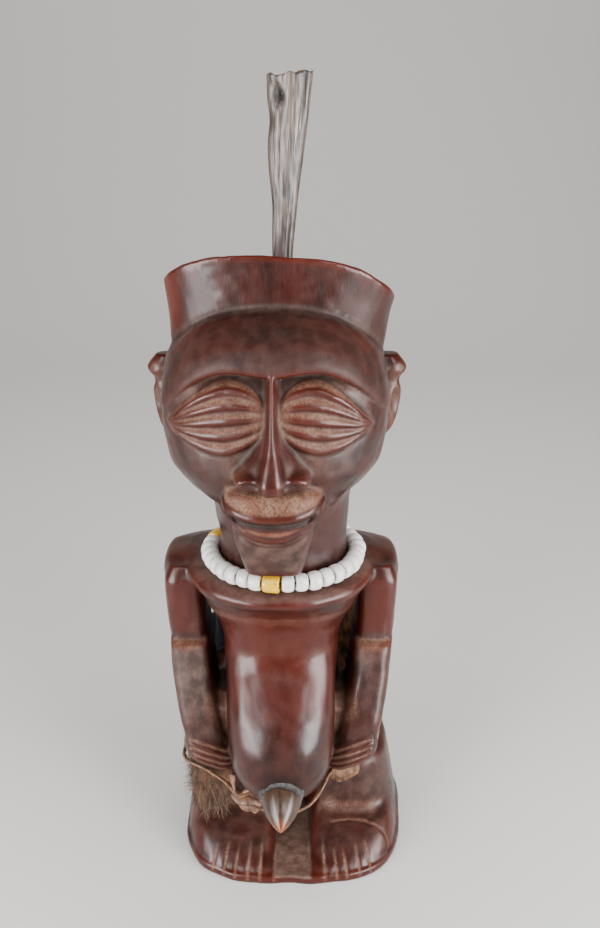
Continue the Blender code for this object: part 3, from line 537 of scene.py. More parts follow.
def rim_z(x, y):
    """Top of the crown: arched from side to side, falling to the back and a little to the left."""
    arch = RIM_ARCH * np.minimum(1.1, np.abs(x) / RIM_HALF_WIDTH) ** 3.2
    chips = sum(deep * hump(x, middle, width) for deep, middle, width in RIM_CHIPS)
    return RIM_Z - arch - chips - RIM_FALL_BACK * (y + 50.0) - RIM_FALL_LEFT * x


def eye_shape(x, z):
    """Share along an eye, place between its lids from -1 to 1, and its half height there."""
    share = (np.abs(x) - EYE_INNER) / (EYE_OUTER - EYE_OVER * np.sign(x) - EYE_INNER)
    inner = np.sqrt(np.clip(1.0 - ((EYE_FULLEST - share) / EYE_FULLEST) ** 2, 0.0, 1.0))
    outer = 1.0 - np.clip((share - EYE_FULLEST) / (1.0 - EYE_FULLEST), 0.0, 1.0) ** 1.6
    tall = np.maximum(EYE_HALF_HEIGHT * np.where(share < EYE_FULLEST, inner, outer), 0.25)
    middle = EYE_Z - EYE_DROOP * np.clip(share, 0.0, 1.2) ** 1.8
    return share, (z - middle) / tall, tall


def eye_band(lid):
    """Place within one of the five bands of an eye, from 0 at its top to 1 at its bottom."""
    return np.mod(EYE_BANDS / 2.0 * (1.0 - np.clip(lid, -0.999, 0.999)), 1.0)


def eye_relief(x, z):
    """How far the eyes stand out of the face: five ridges that meet at the outer corner."""
    share, lid, tall = eye_shape(x, z)
    ridges = np.sin(math.pi * eye_band(lid) ** 1.3) ** 0.8
    lens = np.sqrt(np.clip(1.0 - lid * lid, 0.0, 1.0))
    inside = (np.abs(lid) < 1.0) & (share > 0.0) & (share < 1.0)
    proud = np.minimum(1.0, tall / 5.0) * (0.1 + 0.7 * lens + 2.1 * ridges)
    away = (np.abs(lid) - 1.0) * tall
    groove = -0.6 * hump(away, 0.0, 0.9) * ((share > -0.02) & (share < 1.0))
    return np.where(inside, proud, 0.0) + groove


# The carving

def plate_form(x, y, z):
    half, front, back, mid, power = PLATE
    edge = oblong(x, y, half, front, back, mid, power)
    edge = edge + 0.35 * np.sin(0.19 * x + 0.07 * y) + 0.3 * np.sin(0.11 * y - 0.31 * x + 1.0)
    flat = np.maximum(z - PLATE_THICKNESS, -z)
    return melted(flat, edge, 1.6)


def toe_depth(x, y):
    """Depth of the lines between the toes, deepest at the front edge."""
    half, front, _, mid, power = PLATE
    depth = np.zeros(np.broadcast(x, y).shape)
    for line, length in zip(TOE_LINES, TOE_LENGTHS):
        start = mid - (mid - front) * (1.0 - abs(line / half) ** power) ** (1.0 / power)
        share = (y - start) / length
        middle = line * (1.0 - 0.07 * np.clip(share, 0.0, 1.0))
        fade = np.clip(1.0 - share, 0.0, 1.0) ** 0.7 * (share > -0.3)
        depth = np.maximum(depth, 2.2 * fade * np.clip(1.0 - np.abs(x - middle) / 1.1, 0.0, 1.0))
    return depth


def feet_form(x, y, z):
    half, front, back, mid, power = PLATE
    edge = oblong(x, y, half - FOOT_INSET, front + FOOT_INSET, back - FOOT_INSET, mid, power)
    over = (z - foot_top(x, y) + toe_depth(x, y)) * 0.8
    return np.maximum(np.maximum(over, edge), 1.0 - z)


# Drying crack over the figure's left foot.
CRACK = ((20.5, -27.4), (31.0, -26.0), (39.0, -26.8), (49.5, -31.4), (58.5, -38.0))


def crack_distance(x, y):
    """Distance in plan to the drying crack that runs over one foot."""
    near = np.full(np.broadcast(x, y).shape, 99.0)
    for start, end in zip(CRACK[:-1], CRACK[1:]):
        a, way = np.array(start), np.array(end) - np.array(start)
        t = np.clip(((x - a[0]) * way[0] + (y - a[1]) * way[1]) / (way @ way), 0.0, 1.0)
        near = np.minimum(near, np.hypot(x - a[0] - way[0] * t, y - a[1] - way[1] * t))
    return near


def crack_form(x, y, z):
    """Narrow gap with steep sides, a little over a millimetre deep."""
    return crack_distance(x, y) - 0.6 + 0.4 * np.clip(foot_top(x, y) - z, 0.0, 4.0)


def haunch_form(x, y, z):
    """Full outer side of the figure's left hip, where the other hip is lean."""
    body = oblong(x - HAUNCH_X, y, lerp(25.5, 18.5, (z - 12.0) / 40.0), -20.0, 42.0, 12.0, 2.5)
    over = np.maximum(z - HAUNCH_Z, 0.0)
    return np.hypot(np.maximum(body + HAUNCH_ROUND, 0.0), over) - HAUNCH_ROUND


def arm_form(x, y, z):
    centre, half, front, back = read_table(ARM, z)
    body = oblong(x - centre, y, half, front, back, (front + back) / 2.0, 4.2)
    return between_ends(body, ARM, z)


def hand_form(x, y, z):
    high, low, front = read_table(HAND, x)
    back = -22.0
    tall, deep = (high - low) / 2.0, (back - front) / 2.0
    across = np.abs(z - (high + low) / 2.0) / tall
    along = np.abs(y - (back + front) / 2.0) / deep
    body = ((across**4.0 + along**4.0) ** 0.25 - 1.0) * tall
    body = body + 1.5 * finger_line(x, z) * ramp(-y, 40.0, 46.0)
    return between_ends(body, HAND, x)


def finger_line(x, z):
    """Depth share of the four lines cut between the fingers of a hand."""
    high, low, _ = read_table(HAND, x)
    depth = 0.0 * x + 0.0 * z
    for k in range(FINGER_LINES):
        level = high - (high - low) * (k + 0.75) / (FINGER_LINES + 0.5)
        depth = np.maximum(depth, 1.0 - np.abs(z - level) / 0.9)
    return np.maximum(depth, 0.0) * ramp(x, 21.0, 24.0) * ramp(-x, -47.5, -44.0)


def neck_form(x, y, z):
    wider = np.interp(z, (165.0, 175.0, 190.0, 206.0, 221.0), (3.0, 0.0, -0.4, 0.6, 1.0))
    away = np.hypot(x - NECK_CENTRE[0], y - NECK_CENTRE[1]) - NECK_RADIUS - wider
    return np.maximum(away, np.maximum(z - 221.0, 165.0 - z))


def forehead_form(x, y, z):
    low = lerp(brow_z(x), 264.0, ramp(y, -45.0, -5.0))
    high = hairline_z(x, y, -24.0, 30.0)
    share = (z - low) / (high - low)
    body = oblong(x, y, *read_table(FOREHEAD, share), -24.0, 2.5)
    tall = high - low
    return np.maximum(body, np.maximum((share - 1.1) * tall, (-0.07 - share) * tall))


def crown_lean(share):
    """How far the crown leans to the figure's left at a share of its height."""
    return 0.8 + 1.4 * np.clip(share, 0.0, 1.0)


def crown_form(x, y, z):
    low = hairline_z(x, y, -10.0, 30.0)
    high = rim_z(x, y)
    share = (z - low) / (high - low)
    power = 2.5 + 0.5 * np.clip(share, 0.0, 1.0)
    body = oblong(x - crown_lean(share), y, *read_table(CROWN, share), -10.0, power)
    body = np.maximum(body, (-0.3 - share) * (high - low))
    return melted(z - high, body, 1.8)


def crown_hollow_form(x, y, z):
    depth = rim_z(x, y) - z
    wall = oblong(x - crown_lean(1.0), y, *CROWN_WALL) + 0.75 * np.maximum(depth, 0.0)
    return np.maximum(wall, depth - CROWN_HOLLOW - 0.004 * (x * x + y * y) ** 0.5)


def skin_y(x, z):
    """Front surface of the head, without its features."""
    half, front, _, mid, power = read_table(HEAD, z)
    edge = np.minimum(0.999, np.abs(x) / half)
    return mid + (front - mid) * (1.0 - edge**power) ** (1.0 / power)


def face_form(x, y, z):
    """Head with the ridged eyes standing out of its front."""
    body = turned_form(HEAD, x, y, z)
    return body - eye_relief(x, z) * ramp(-y, 20.0, 34.0)


def nose_form(x, y, z):
    half, front = read_table(NOSE, z)
    skin = skin_y(0.0 * x, z)
    wide = np.abs(x) / half
    rise = np.interp(wide, (0.0, 0.18, 0.3, 0.5, 0.85, 1.0, 2.0),
                     (1.0, 0.995, 0.88, 0.55, 0.25, 0.0, -2.0))
    body = (skin - (skin - front) * rise - y) * 0.7
    return between_ends(body, NOSE, z)


def lip_low_z(x):
    """Lower edge of the mouth, a half moon."""
    return LIP_Z + LIP_RISE * (np.minimum(np.abs(x), LIP_HALF_WIDTH) / LIP_HALF_WIDTH) ** 2.6


def slit_z(x):
    return SLIT_Z + SLIT_RISE * (x / SLIT_HALF_WIDTH) ** 2


def mouth_form(x, y, z):
    body = turned_form(MOUTH, x, y, z)
    above = z - lip_low_z(x)
    slit = z - slit_z(x)
    rim = 0.9 * ramp(above, -1.0, 0.6) * ramp(-above, -5.0, -3.6)
    lower = -0.9 * ramp(above, 3.8, 5.2) * ramp(-slit, 1.0, 2.2)
    parting = -3.0 * hump(slit, 0.0, 1.0) * ramp(-np.abs(x), -19.5, -16.0)
    upper_edge = 0.5 * hump(slit, 3.0, 1.5) * ramp(-np.abs(x), -21.0, -17.0)
    upper = -0.9 * ramp(slit, 4.6, 6.2) + 0.12 * np.sin(z * 3.6 + 0.09 * x) * ramp(slit, 5.0, 6.0)
    return body - (rim + lower + parting + upper_edge + upper)


def ear_form(x, y, z):
    x, y, z = x, y - EAR_Y, z + EAR_DROP
    centre, half, deep = read_table(EAR, z)
    body = oblong(x - centre, y, half, -deep, deep, 0.0, 2.4)
    return between_ends(body, EAR, z)


def ear_hollow_form(x, y, z):
    """Long hollow of the ear, with a notch under its knob."""
    shell, notch, dent = (oval(x, y, z, *lobe) for lobe in EAR_HOLLOWS)
    return np.minimum(shell, np.minimum(notch, dent))


def chest_line_z(x, height):
    """Course of a line scored round the chest, lower over the breastbone."""
    return height - 1.2 * hump(x - TRUNK_SHIFT, 0.0, 18.0)


BILLET_LOW = (-69.0, -91.0, -1.6)
BILLET_HIGH = (63.0, 76.0, 331.6)


def carve_billet(pitch):
    """Every form that the carver left standing, then what was taken away again."""
    wood = Billet(BILLET_LOW, BILLET_HIGH, pitch)

    def turned(table):
        return lambda x, y, z: turned_form(table, x, y, z)

    def on_trunk(form):
        return lambda x, y, z: form(x - TRUNK_SHIFT, y, z)

    def on_head(form):
        return lambda x, y, z: form(head_x(x, y), y, z)

    def pair(work, reach, form, blend, seat, shift):
        """Do the same on both sides; reach is the form's span across, forward and up."""
        (near, far), (front, back), (low, high) = reach
        right = seat(form)
        left = seat(lambda x, y, z: form(-x, y, z))
        work((shift + near, front, low), (shift + far, back, high), right, blend)
        work((shift - far, front, low), (shift - near, back, high), left, blend)

    wood.join((-61, -57, 0), (61, 74, 6), plate_form, 0.4)
    wood.join((-60, -56, 1), (60, 73, 22), feet_form, 0.8)
    for side in (-1.0, 1.0):
        middle = LEG_MIDDLE * side
        leg = lambda x, y, z, middle=middle: turned_form(LEG, x - middle, y, z)
        wood.join((middle - 20, -19, 8), (middle + 20, 47, 62), leg, 1.4)
    trunk = on_trunk(turned(TRUNK))
    wood.join((-50, -59, 48), (40, 47, 162), trunk, 4.0)
    flanks = on_trunk(turned(FLANKS))
    wood.join((-42, -44, 64), (31, -8, 104), flanks, 3.0)
    for side in (-1.0, 1.0):
        middle = (TRUNK_SHIFT + 18.0 * side, 26.0, 64.0)
        lobe = lambda x, y, z, middle=middle: oval(x, y, z, middle, (20.0, 22.0, 20.0))
        wood.join((middle[0] - 22, 2, 42), (middle[0] + 22, 50, 86), lobe, 3.0)
    belly = on_trunk(turned(BELLY))
    wood.join((-40, -80, 50), (29, -15, 156), belly, lambda z: lerp(1.4, 12.0, ramp(z, 100.0, 122.0)))
    pair(wood.join, ((26, 60), (-52, 14), (80, 171)), arm_form, 2.2, on_trunk, TRUNK_SHIFT)
    pair(wood.join, ((19, 52), (-54, -20), (62, 90)), hand_form, 1.0, on_trunk, TRUNK_SHIFT)
    bar_form = on_trunk(turned(SHOULDER_BAR))
    wood.join((-66, -30, 156), (54, 22, 176), bar_form, 4.0)
    slab_form = on_trunk(turned(CHEST_SLAB))
    wood.join((-53, -64, 155), (42, 22, 176), slab_form, lambda z: lerp(4.0, 1.2, ramp(z, 160.0, 168.0)))
    wood.join((-40, -60, 164), (32, 12, 222), neck_form, 1.6)

    wood.join((-62, -76, 190), (48, 34, 283), on_head(face_form),
              lambda z: lerp(7.0, 1.2, ramp(z, 214.0, 226.0)))
    wood.join((-62, -78, 258), (48, 32, 310), on_head(forehead_form), 0.7)
    wood.join((-62, -54, 275), (52, 34, 331), on_head(crown_form), 0.9)
    wood.join((-28, -90, 231), (13, -60, 283), on_head(nose_form), 1.2)
    pair(wood.join, ((2, 17), (-86, -64), (231, 246)),
         lambda x, y, z: oval(x, y, z, *NOSE_WING), 2.2, on_head, HEAD_SHIFT)
    wood.join((-32, -84, 204), (17, -48, 233), on_head(mouth_form), 0.9)
    wood.join((-28, -77, 185), (13, -39, 215), on_head(turned(BEARD)), 1.4)
    pair(wood.join, ((44, 63), (-11, 5), (229, 275)), ear_form, 1.2, on_head, HEAD_SHIFT)

    pair(wood.cut, ((4, 18), (-88, -74), (229, 240)),
         lambda x, y, z: oval(x, y, z, *NOSTRIL), 0.8, on_head, HEAD_SHIFT)
    pair(wood.cut, ((52, 64), (-14, 0), (238, 272)), ear_hollow_form, 0.8, on_head, HEAD_SHIFT)
    wood.join((8, -28, 8), (62, 50, 62), haunch_form, 5.0)
    wood.cut((18, -42, 9), (60, -23, 22), crack_form, 0.3)
    for height, deep in CHEST_LINES:
        line = lambda x, y, z: np.hypot(trunk(x, y, z), z - chest_line_z(x, height)) - deep
        wood.cut((-44, -60, height - 6), (34, -20, height + 4), line, 0.5)
    wood.cut((-56, -52, 300), (46, 34, 332), on_head(crown_hollow_form), 1.6)
    return wood


# Wear and dirt on the wood, with painted shade and a painted highlight, worked out at every point

def within(value, low, high, soft):
    """1 between low and high, fading out over the soft distance."""
    return ramp(value, low - soft, low + soft) * ramp(-value, -high - soft, -high + soft)


def face_wear_shade_and_highlight(x, y, z, facing):
    """Dust, dirt, glow and painted shade on the head, with a painted highlight under the brow; x is measured
    from its middle.
    """
    front = ramp(-y, 38.0, 50.0)
    share, lid, _ = eye_shape(x, z)
    band = eye_band(lid)
    on_eye = front * within(lid, -0.97, 0.97, 0.03) * within(share, 0.01, 0.99, 0.01)
    ledge = within(band, 0.05, 0.40, 0.08) * (1.0 - 0.4 * ramp(share, 0.5, 1.0))
    near_nose = ramp(-share, -0.2, -0.06)
    dust = on_eye * np.maximum(0.75 * ledge, 0.55 * near_nose)
    groove = on_eye * np.maximum(ramp(band, 0.70, 0.82), ramp(-band, -0.05, 0.0)) * (1.0 - near_nose)

    above_slit = z - slit_z(x)
    above_lip = z - lip_low_z(x)
    mouth = front * ramp(-np.abs(x), -22.5, -20.5) * ramp(-y, 64.0, 68.0)
    band_wide = within(above_slit, 5.2, 14.0, 0.7) * ramp(-z, -232.0, -229.0)
    lower = within(above_lip, 6.0, 30.0, 0.6) * ramp(-above_slit, 2.2, 3.2)
    dust = np.maximum(dust, mouth * np.maximum(0.95 * band_wide, 0.7 * lower))
    glow = 0.8 * mouth * lower + 0.45 * groove
    shade = 0.35 * groove + 0.85 * mouth * hump(above_slit, -0.4, 2.4)

    line = z - hairline_z(x, y, -24.0, 30.0)
    dirt = 0.6 * hump(line, 0.3, 1.1) * ramp(z, 270.0, 280.0)
    dirt = np.maximum(dirt, 0.45 * hump(line, 2.0, 4.0) * ramp(x, 18.0, 36.0) * front)
    below_brow = brow_z(x) - z
    wide = np.abs(x)
    # Pale band just under the brow line: dust, and a painted highlight where the brow's narrow lower face
    # catches the light.
    under_brow_dust_and_highlight = within(below_brow, 0.6, 3.0, 0.7) * within(wide, 9.0, 38.0, 2.0)
    dust = np.maximum(dust, 0.36 * front * under_brow_dust_and_highlight)
    corner = within(below_brow, 0.8, 6.0, 1.6) * within(wide, 27.0, 41.0, 4.0) * (np.abs(lid) > 1.0)
    dust = np.maximum(dust, 0.3 * front * corner)
    forehead = front * within(below_brow, -30.0, -1.0, 1.0) * ramp(-line, 0.5, 2.0)
    shade = np.maximum(shade, 0.36 * forehead)
    dirt = np.maximum(dirt, 0.26 * forehead)
    for side in (-1.0, 1.0):
        smear = hump(x, 27.0 * side, 7.0) * hump(z, 239.0, 9.0)
        dirt = np.maximum(dirt, 0.24 * front * smear)
        inner = hump(x, 17.0 * side, 5.0) * hump(z, 242.0, 8.0)
        dust = np.maximum(dust, 0.3 * front * inner)
    beard = within(x, -15.0, 15.0, 1.5) * within(z, 189.0, 211.0, 2.0) * ramp(-y, 60.0, 63.0)
    dirt = np.maximum(dirt, 0.62 * beard * ramp(-above_lip, 0.4, 1.6))
    nose = hump(x, 0.0, 4.5) * within(z, 246.0, 283.0, 5.0) * front
    glow = np.maximum(glow, 0.35 * nose)
    shade = np.maximum(shade, 0.3 * hump(x, 0.0, 2.4) * within(z, 250.0, 284.0, 4.0) * front)
    ear = ramp(np.abs(x), 52.0, 54.0) * within(z, 232.0, 270.0, 2.0)
    dust = np.maximum(dust, 0.3 * ear)
    rim = rim_z(x, y) - z
    edge = ramp(-rim, -3.2, -0.6)
    glow = np.maximum(glow, 0.6 * edge)
    edge_left = ramp(-x, 36.0, 50.0) * ramp(z, 285.0, 300.0) * ramp(-y, 8.0, 30.0)
    glow = np.maximum(glow, edge_left)
    inside = ramp(-oblong(x, y, 45.8, -44.0, 24.4, -10.0, 2.6), 0.0, 2.0)
    floor = ramp(facing[:, 2], 0.5, 0.9) * ramp(rim, 5.0, 9.0) * ramp(z, 290.0, 300.0) * inside
    dirt = np.maximum(dirt, 0.7 * floor)
    return dust, dirt, glow, shade


def body_wear_and_shade(x, y, z, facing):
    """Dust, dirt, glow and painted shade below the neck; x is measured from the middle of the trunk."""
    wide = np.abs(x)
    forward = ramp(-facing[:, 1], 0.2, 0.6)
    upward = ramp(facing[:, 2], 0.35, 0.75)
    away = np.hypot(x + TRUNK_SHIFT - NECK_CENTRE[0], y - NECK_CENTRE[1])
    slab = upward * within(z, 170.0, 180.0, 1.5)
    dirt = slab * (0.15 + 0.4 * hump(away, 37.0, 6.0))
    dust = 0.1 * slab * hump(away, 43.0, 4.0)
    elbow = upward * within(z, 128.5, 133.5, 1.0) * ramp(wide, 34.0, 37.0) * ramp(-y, 22.0, 26.0)
    dust = np.maximum(dust, 0.7 * elbow)
    forearm = ramp(wide, 27.0, 31.0) * within(z, 84.0, 130.0, 3.0) * forward * ramp(-y, 20.0, 28.0)
    sooty = lerp(0.72, 0.22, ramp(x, -10.0, 10.0)) * lerp(0.6, 1.0, ramp(z, 88.0, 118.0))
    dirt = np.maximum(dirt, forearm * sooty)
    dirt = np.maximum(dirt, 0.7 * forearm * hump(x, 40.0, 7.0) * hump(z, 122.0, 9.0))
    flank = within(wide, 25.5, 38.0, 1.0) * within(z, 62.0, 106.0, 4.0) * within(y, -46.0, -26.0, 2.0)
    dust = np.maximum(dust, 0.62 * flank * ramp(-facing[:, 1], -0.2, 0.3))
    fingers = finger_line(wide, z) * ramp(-y, 43.0, 47.0)
    dust = np.maximum(dust, 0.85 * fingers)
    upper_arm = ramp(wide, 38.0, 41.0) * within(z, 134.0, 165.0, 3.0)
    glow = 0.4 * upper_arm
    dirt = np.maximum(dirt, 0.35 * upper_arm * hump(wide, 42.0, 5.0) * hump(z, 140.0, 10.0) * (x < 0.0))
    chest = ramp(-wide, -32.0, -22.0) * within(z, 112.0, 160.0, 8.0) * forward
    glow = np.maximum(glow, 0.38 * chest)
    lines = np.zeros(len(x))
    for height, _ in CHEST_LINES:
        lines = np.maximum(lines, hump(z - chest_line_z(x + TRUNK_SHIFT, height), 0.0, 0.8))
    dust = np.maximum(dust, 0.22 * lines * (wide < 36.0) * forward)
    # Painted shade round the navel horn, and a darker painted band down the middle of the belly between its
    # highlights.
    under_navel = hump(x, 0.5, 11.0) * hump(z, 76.0, 7.0) * ramp(-y, 60.0, 66.0)
    shade = 0.7 * under_navel + 0.3 * hump(x, 3.0, 6.0) * within(z, 72.0, 100.0, 8.0) * forward
    shade = np.maximum(shade, 0.95 * hump(x, 0.5, 9.5) * hump(z, 83.0, 5.0) * ramp(-y, 60.0, 66.0))
    return dust, dirt, glow, shade


def foot_wear(x, y, z, facing):
    """Dust and dirt on the plate, the feet and the foot of the legs."""
    upward = ramp(facing[:, 2], 0.3, 0.7)
    strip = ramp(-np.abs(x), -11.0, -8.5) * ramp(-z, -9.0, -7.0) * upward
    dirt = 0.95 * strip
    dust = 0.35 * strip
    toes = np.clip(toe_depth(x, y) / 1.3, 0.0, 1.0) * (z > 2.0) * (z < 24.0)
    dust = np.maximum(dust, 0.75 * toes)
    crease = hump(y, -18.0, 3.4) * within(z, 17.0, 25.0, 2.0) * within(np.abs(x), 11.0, 45.0, 2.0)
    dust = np.maximum(dust, 0.6 * crease)
    crack = ramp(-crack_distance(x, y), -0.9, -0.4) * ramp(foot_top(x, y) - z, -0.2, 0.4)
    dust = np.maximum(dust, 0.55 * crack * (z > 6.0))
    tops = upward * within(z, 10.0, 24.0, 2.0)
    dirt = np.maximum(dirt, 0.22 * tops)
    legs = within(z, 24.0, 60.0, 4.0) * ramp(-facing[:, 1], 0.2, 0.6)
    dirt = np.maximum(dirt, 0.4 * legs)
    glow = 0.3 * within(z, 0.0, 6.0, 1.0) * ramp(-y, 20.0, 40.0)
    return dust, dirt, glow, np.zeros(len(x))


def wood_wear_shade_and_highlight(points, facing, hollow, wide_hollow):
    """Dust, dirt, glow and painted shade of the whole figure, each from 0 to 1; the dust holds a painted
    highlight under the brow.
    """
    x, y, z = points.T
    head = ramp(z, 178.0, 190.0)
    foot = ramp(-z, -62.0, -52.0)
    parts = (
        face_wear_shade_and_highlight(head_x(x, y), y, z, facing),
        body_wear_and_shade(x - TRUNK_SHIFT, y, z, facing),
        foot_wear(x, y, z, facing),
    )
    shares = (head, (1.0 - head) * (1.0 - foot), foot)
    dust, dirt, glow, shade = (sum(s * p[k] for s, p in zip(shares, parts)) for k in range(4))
    patchy = 0.5 + 0.5 * waves(points, 9.0, 11)
    deep = ramp(hollow, 0.05, 0.30)
    dirt = np.maximum(dirt, 0.55 * deep * (0.6 + 0.6 * patchy))
    # Painted shade in the broad hollows.
    shade = np.maximum(shade, 0.35 * ramp(wide_hollow, 0.25, 0.9))
    worn = ramp(-hollow, 0.08, 0.35)
    glow = np.maximum(glow, 0.35 * worn)
    dust = dust * (0.75 + 0.35 * patchy) * (1.0 - 0.3 * worn)
    return [np.clip(part, 0.0, 1.0) for part in (dust, dirt, glow, shade)]


# Nodes and materials

def linear(code):
    """Linear colour from a six-figure sRGB code."""
    values = [int(code[i:i + 2], 16) / 255.0 for i in (0, 2, 4)]
    return (*[v / 12.92 if v <= 0.04045 else ((v + 0.055) / 1.055) ** 2.4 for v in values], 1.0)


def add(tree, kind, sockets=None, **settings):
    """Add a node, set what it is, and fill its sockets with values or links."""
    made = tree.nodes.new(kind)
    for name, value in settings.items():
        setattr(made, name, value)
    for name, value in (sockets or {}).items():
        if isinstance(value, bpy.types.NodeSocket):
            tree.links.new(value, made.inputs[name])
        else:
            made.inputs[name].default_value = value
    return made


def new_material(name, sockets):
    """Material with its shader; sockets are the shader's own even values."""
    made = bpy.data.materials.new(name)
    made.use_nodes = True
    tree = made.node_tree
    tree.nodes.clear()
    shader = add(tree, "ShaderNodeBsdfPrincipled", sockets)
    end = add(tree, "ShaderNodeOutputMaterial")
    tree.links.new(shader.outputs["BSDF"], end.inputs["Surface"])
    return made, tree, shader


def give(shader, name, value):
    """Link a value to one of the inputs of a shader."""
    shader.id_data.links.new(value, shader.inputs[name])


def streaks(tree, across, along, detail=3.0):
    """Noise with features of so many millimetres across and up the piece."""
    place = add(tree, "ShaderNodeTexCoord").outputs["Object"]
    size = (1000.0 / across, 1000.0 / across, 1000.0 / along)
    drawn = add(tree, "ShaderNodeMapping", {"Vector": place, "Scale": size}).outputs["Vector"]
    noise = add(tree, "ShaderNodeTexNoise", {"Vector": drawn, "Scale": 1.0, "Detail": detail})
    return noise.outputs["Fac"]


def blended(tree, share, first, second):
    """Colour between two colours, given as codes or as links."""
    first, second = (linear(one) if isinstance(one, str) else one for one in (first, second))
    return add(tree, "ShaderNodeMix", {0: share, 6: first, 7: second}, data_type="RGBA").outputs[2]


def remapped(tree, value, low, high, to_low=0.0, to_high=1.0):
    """Value carried from one range to another, held at its ends."""
    sockets = {"Value": value, "From Min": low, "From Max": high, "To Min": to_low, "To Max": to_high}
    return add(tree, "ShaderNodeMapRange", sockets).outputs["Result"]


def mixed(tree, share, first, second):
    """Value between two values."""
    return add(tree, "ShaderNodeMix", {0: share, 2: first, 3: second}).outputs[0]


def times(tree, first, second):
    return add(tree, "ShaderNodeMath", {0: first, 1: second}, operation="MULTIPLY").outputs[0]


def raised(tree, shader, height, depth, strength=1.0):
    """Let a height between 0 and 1 stand for so many millimetres of relief."""
    sockets = {"Height": height, "Distance": depth * MM, "Strength": strength}
    give(shader, "Normal", add(tree, "ShaderNodeBump", sockets).outputs["Normal"])


def wood_material():
    # Wax and hands have closed the grain: broad soft highlights over dark red-brown, with
    # powdery tan dust left in the cuts, grey dirt where nobody rubs, and near-black painted shade in grooves
    # and hollows.
    made, tree, shader = new_material(
        "Hardwood, knife-carved, oiled and hand-rubbed",
        {"Coat Roughness": 0.2, "Specular IOR Level": 0.2},
    )
    wear = add(tree, "ShaderNodeAttribute", attribute_name="wear")
    parts = add(tree, "ShaderNodeSeparateColor", {"Color": wear.outputs["Color"]}).outputs
    fine = streaks(tree, 0.5, 6.0, 2.0)
    broad = streaks(tree, 11.0, 60.0, 2.0)
    speck = streaks(tree, 0.9, 1.4, 4.0)
    cloud = streaks(tree, 6.0, 8.0, 4.0)
    base = blended(tree, remapped(tree, broad, 0.38, 0.62), "240B07", "38130C")
    base = blended(tree, remapped(tree, cloud, 0.42, 0.66, 0.0, 0.4), base, "481C13")
    base = blended(tree, remapped(tree, fine, 0.54, 0.72, 0.0, 0.3), base, "55281C")
    base = blended(tree, remapped(tree, fine, 0.46, 0.34, 0.0, 0.45), base, "120705")
    base = blended(tree, times(tree, parts["Blue"], 0.72), base, "66200D")
    soil = blended(tree, remapped(tree, cloud, 0.4, 0.62), "41332E", "64524A")
    dirty = times(tree, parts["Green"], remapped(tree, speck, 0.25, 0.6, 0.6, 1.0))
    base = blended(tree, dirty, base, soil)
    # The dust channel also paints a highlight on the brow ledge in this powder colour.
    powder_and_brow_highlight = blended(tree, remapped(tree, cloud, 0.38, 0.62), "7F533F", "93705B")
    dust_and_brow_highlight = times(tree, parts["Red"], remapped(tree, speck, 0.36, 0.6, 0.35, 1.0))
    base = blended(tree, dust_and_brow_highlight, base, powder_and_brow_highlight)
    # Painted shade: the fourth channel darkens the eye grooves, the mouth slit, hollows, the forehead, the
    # nose ridge and the belly round the navel horn toward near black.
    base = blended(tree, times(tree, wear.outputs["Alpha"], 0.8), base, "120A07")
    give(shader, "Base Color", base)
    polish = remapped(tree, cloud, 0.35, 0.65, 0.30, 0.42)
    rough = mixed(tree, dirty, polish, 0.68)
    rough = mixed(tree, dust_and_brow_highlight, rough, 0.9)
    dulled = times(tree, wear.outputs["Alpha"], 1.8)
    rough = mixed(tree, dulled, rough, 0.62)
    give(shader, "Roughness", rough)
    soiled = add(tree, "ShaderNodeMath", {0: dirty, 1: dust_and_brow_highlight}).outputs[0]
    soiled = add(tree, "ShaderNodeMath", {0: soiled, 1: wear.outputs["Alpha"]}).outputs[0]
    give(shader, "Coat Weight", remapped(tree, soiled, 0.0, 0.5, 0.24, 0.0))
    relief = mixed(tree, 0.5, fine, speck)
    raised(tree, shader, relief, 0.16, 0.6)
    return made


def head_horn_material():
    # Dry horn split along its fibres: grey-brown streaks with a dull sheen on the worn ridges, and painted
    # shade where its tone is low.
    made, tree, shader = new_material("Horn, weathered grey along its fibres", {"Specular IOR Level": 0.5})
    tone = add(tree, "ShaderNodeAttribute", attribute_name="tone").outputs["Fac"]
    fibre = streaks(tree, 0.7, 16.0)
    patch = streaks(tree, 2.6, 14.0)
    base = blended(tree, remapped(tree, patch, 0.38, 0.62), "342D2B", "6C5E57")
    base = blended(tree, remapped(tree, fibre, 0.5, 0.70, 0.0, 0.6), base, "A08B80")
    base = blended(tree, remapped(tree, fibre, 0.46, 0.34, 0.0, 0.55), base, "221B19")
    # Low tone paints shade into the splits, the pit, the hollow of the broken end and one side.
    base = blended(tree, remapped(tree, tone, 0.5, 0.0), base, "1B1310")
    base = blended(tree, remapped(tree, tone, 0.6, 1.0), base, "8C6244")
    give(shader, "Base Color", base)
    give(shader, "Roughness", remapped(tree, patch, 0.35, 0.65, 0.5, 0.3))
    raised(tree, shader, fibre, 0.22, 0.8)
    return made


def navel_horn_material():
    # Horn scraped and polished: brown with an amber point, and two crisp long highlights.
    made, tree, shader = new_material(
        "Horn, scraped and polished",
        {"Roughness": 0.3, "Specular IOR Level": 0.3, "Coat Weight": 0.15, "Coat Roughness": 0.14},
    )
    tone = add(tree, "ShaderNodeAttribute", attribute_name="tone").outputs["Fac"]
    streak = streaks(tree, 1.6, 9.0)
    base = blended(tree, remapped(tree, streak, 0.35, 0.65), "33231A", "493326")
    base = blended(tree, remapped(tree, tone, 0.7, 1.0), base, "85441C")
    give(shader, "Base Color", base)
    raised(tree, shader, streak, 0.05, 0.5)
    return made


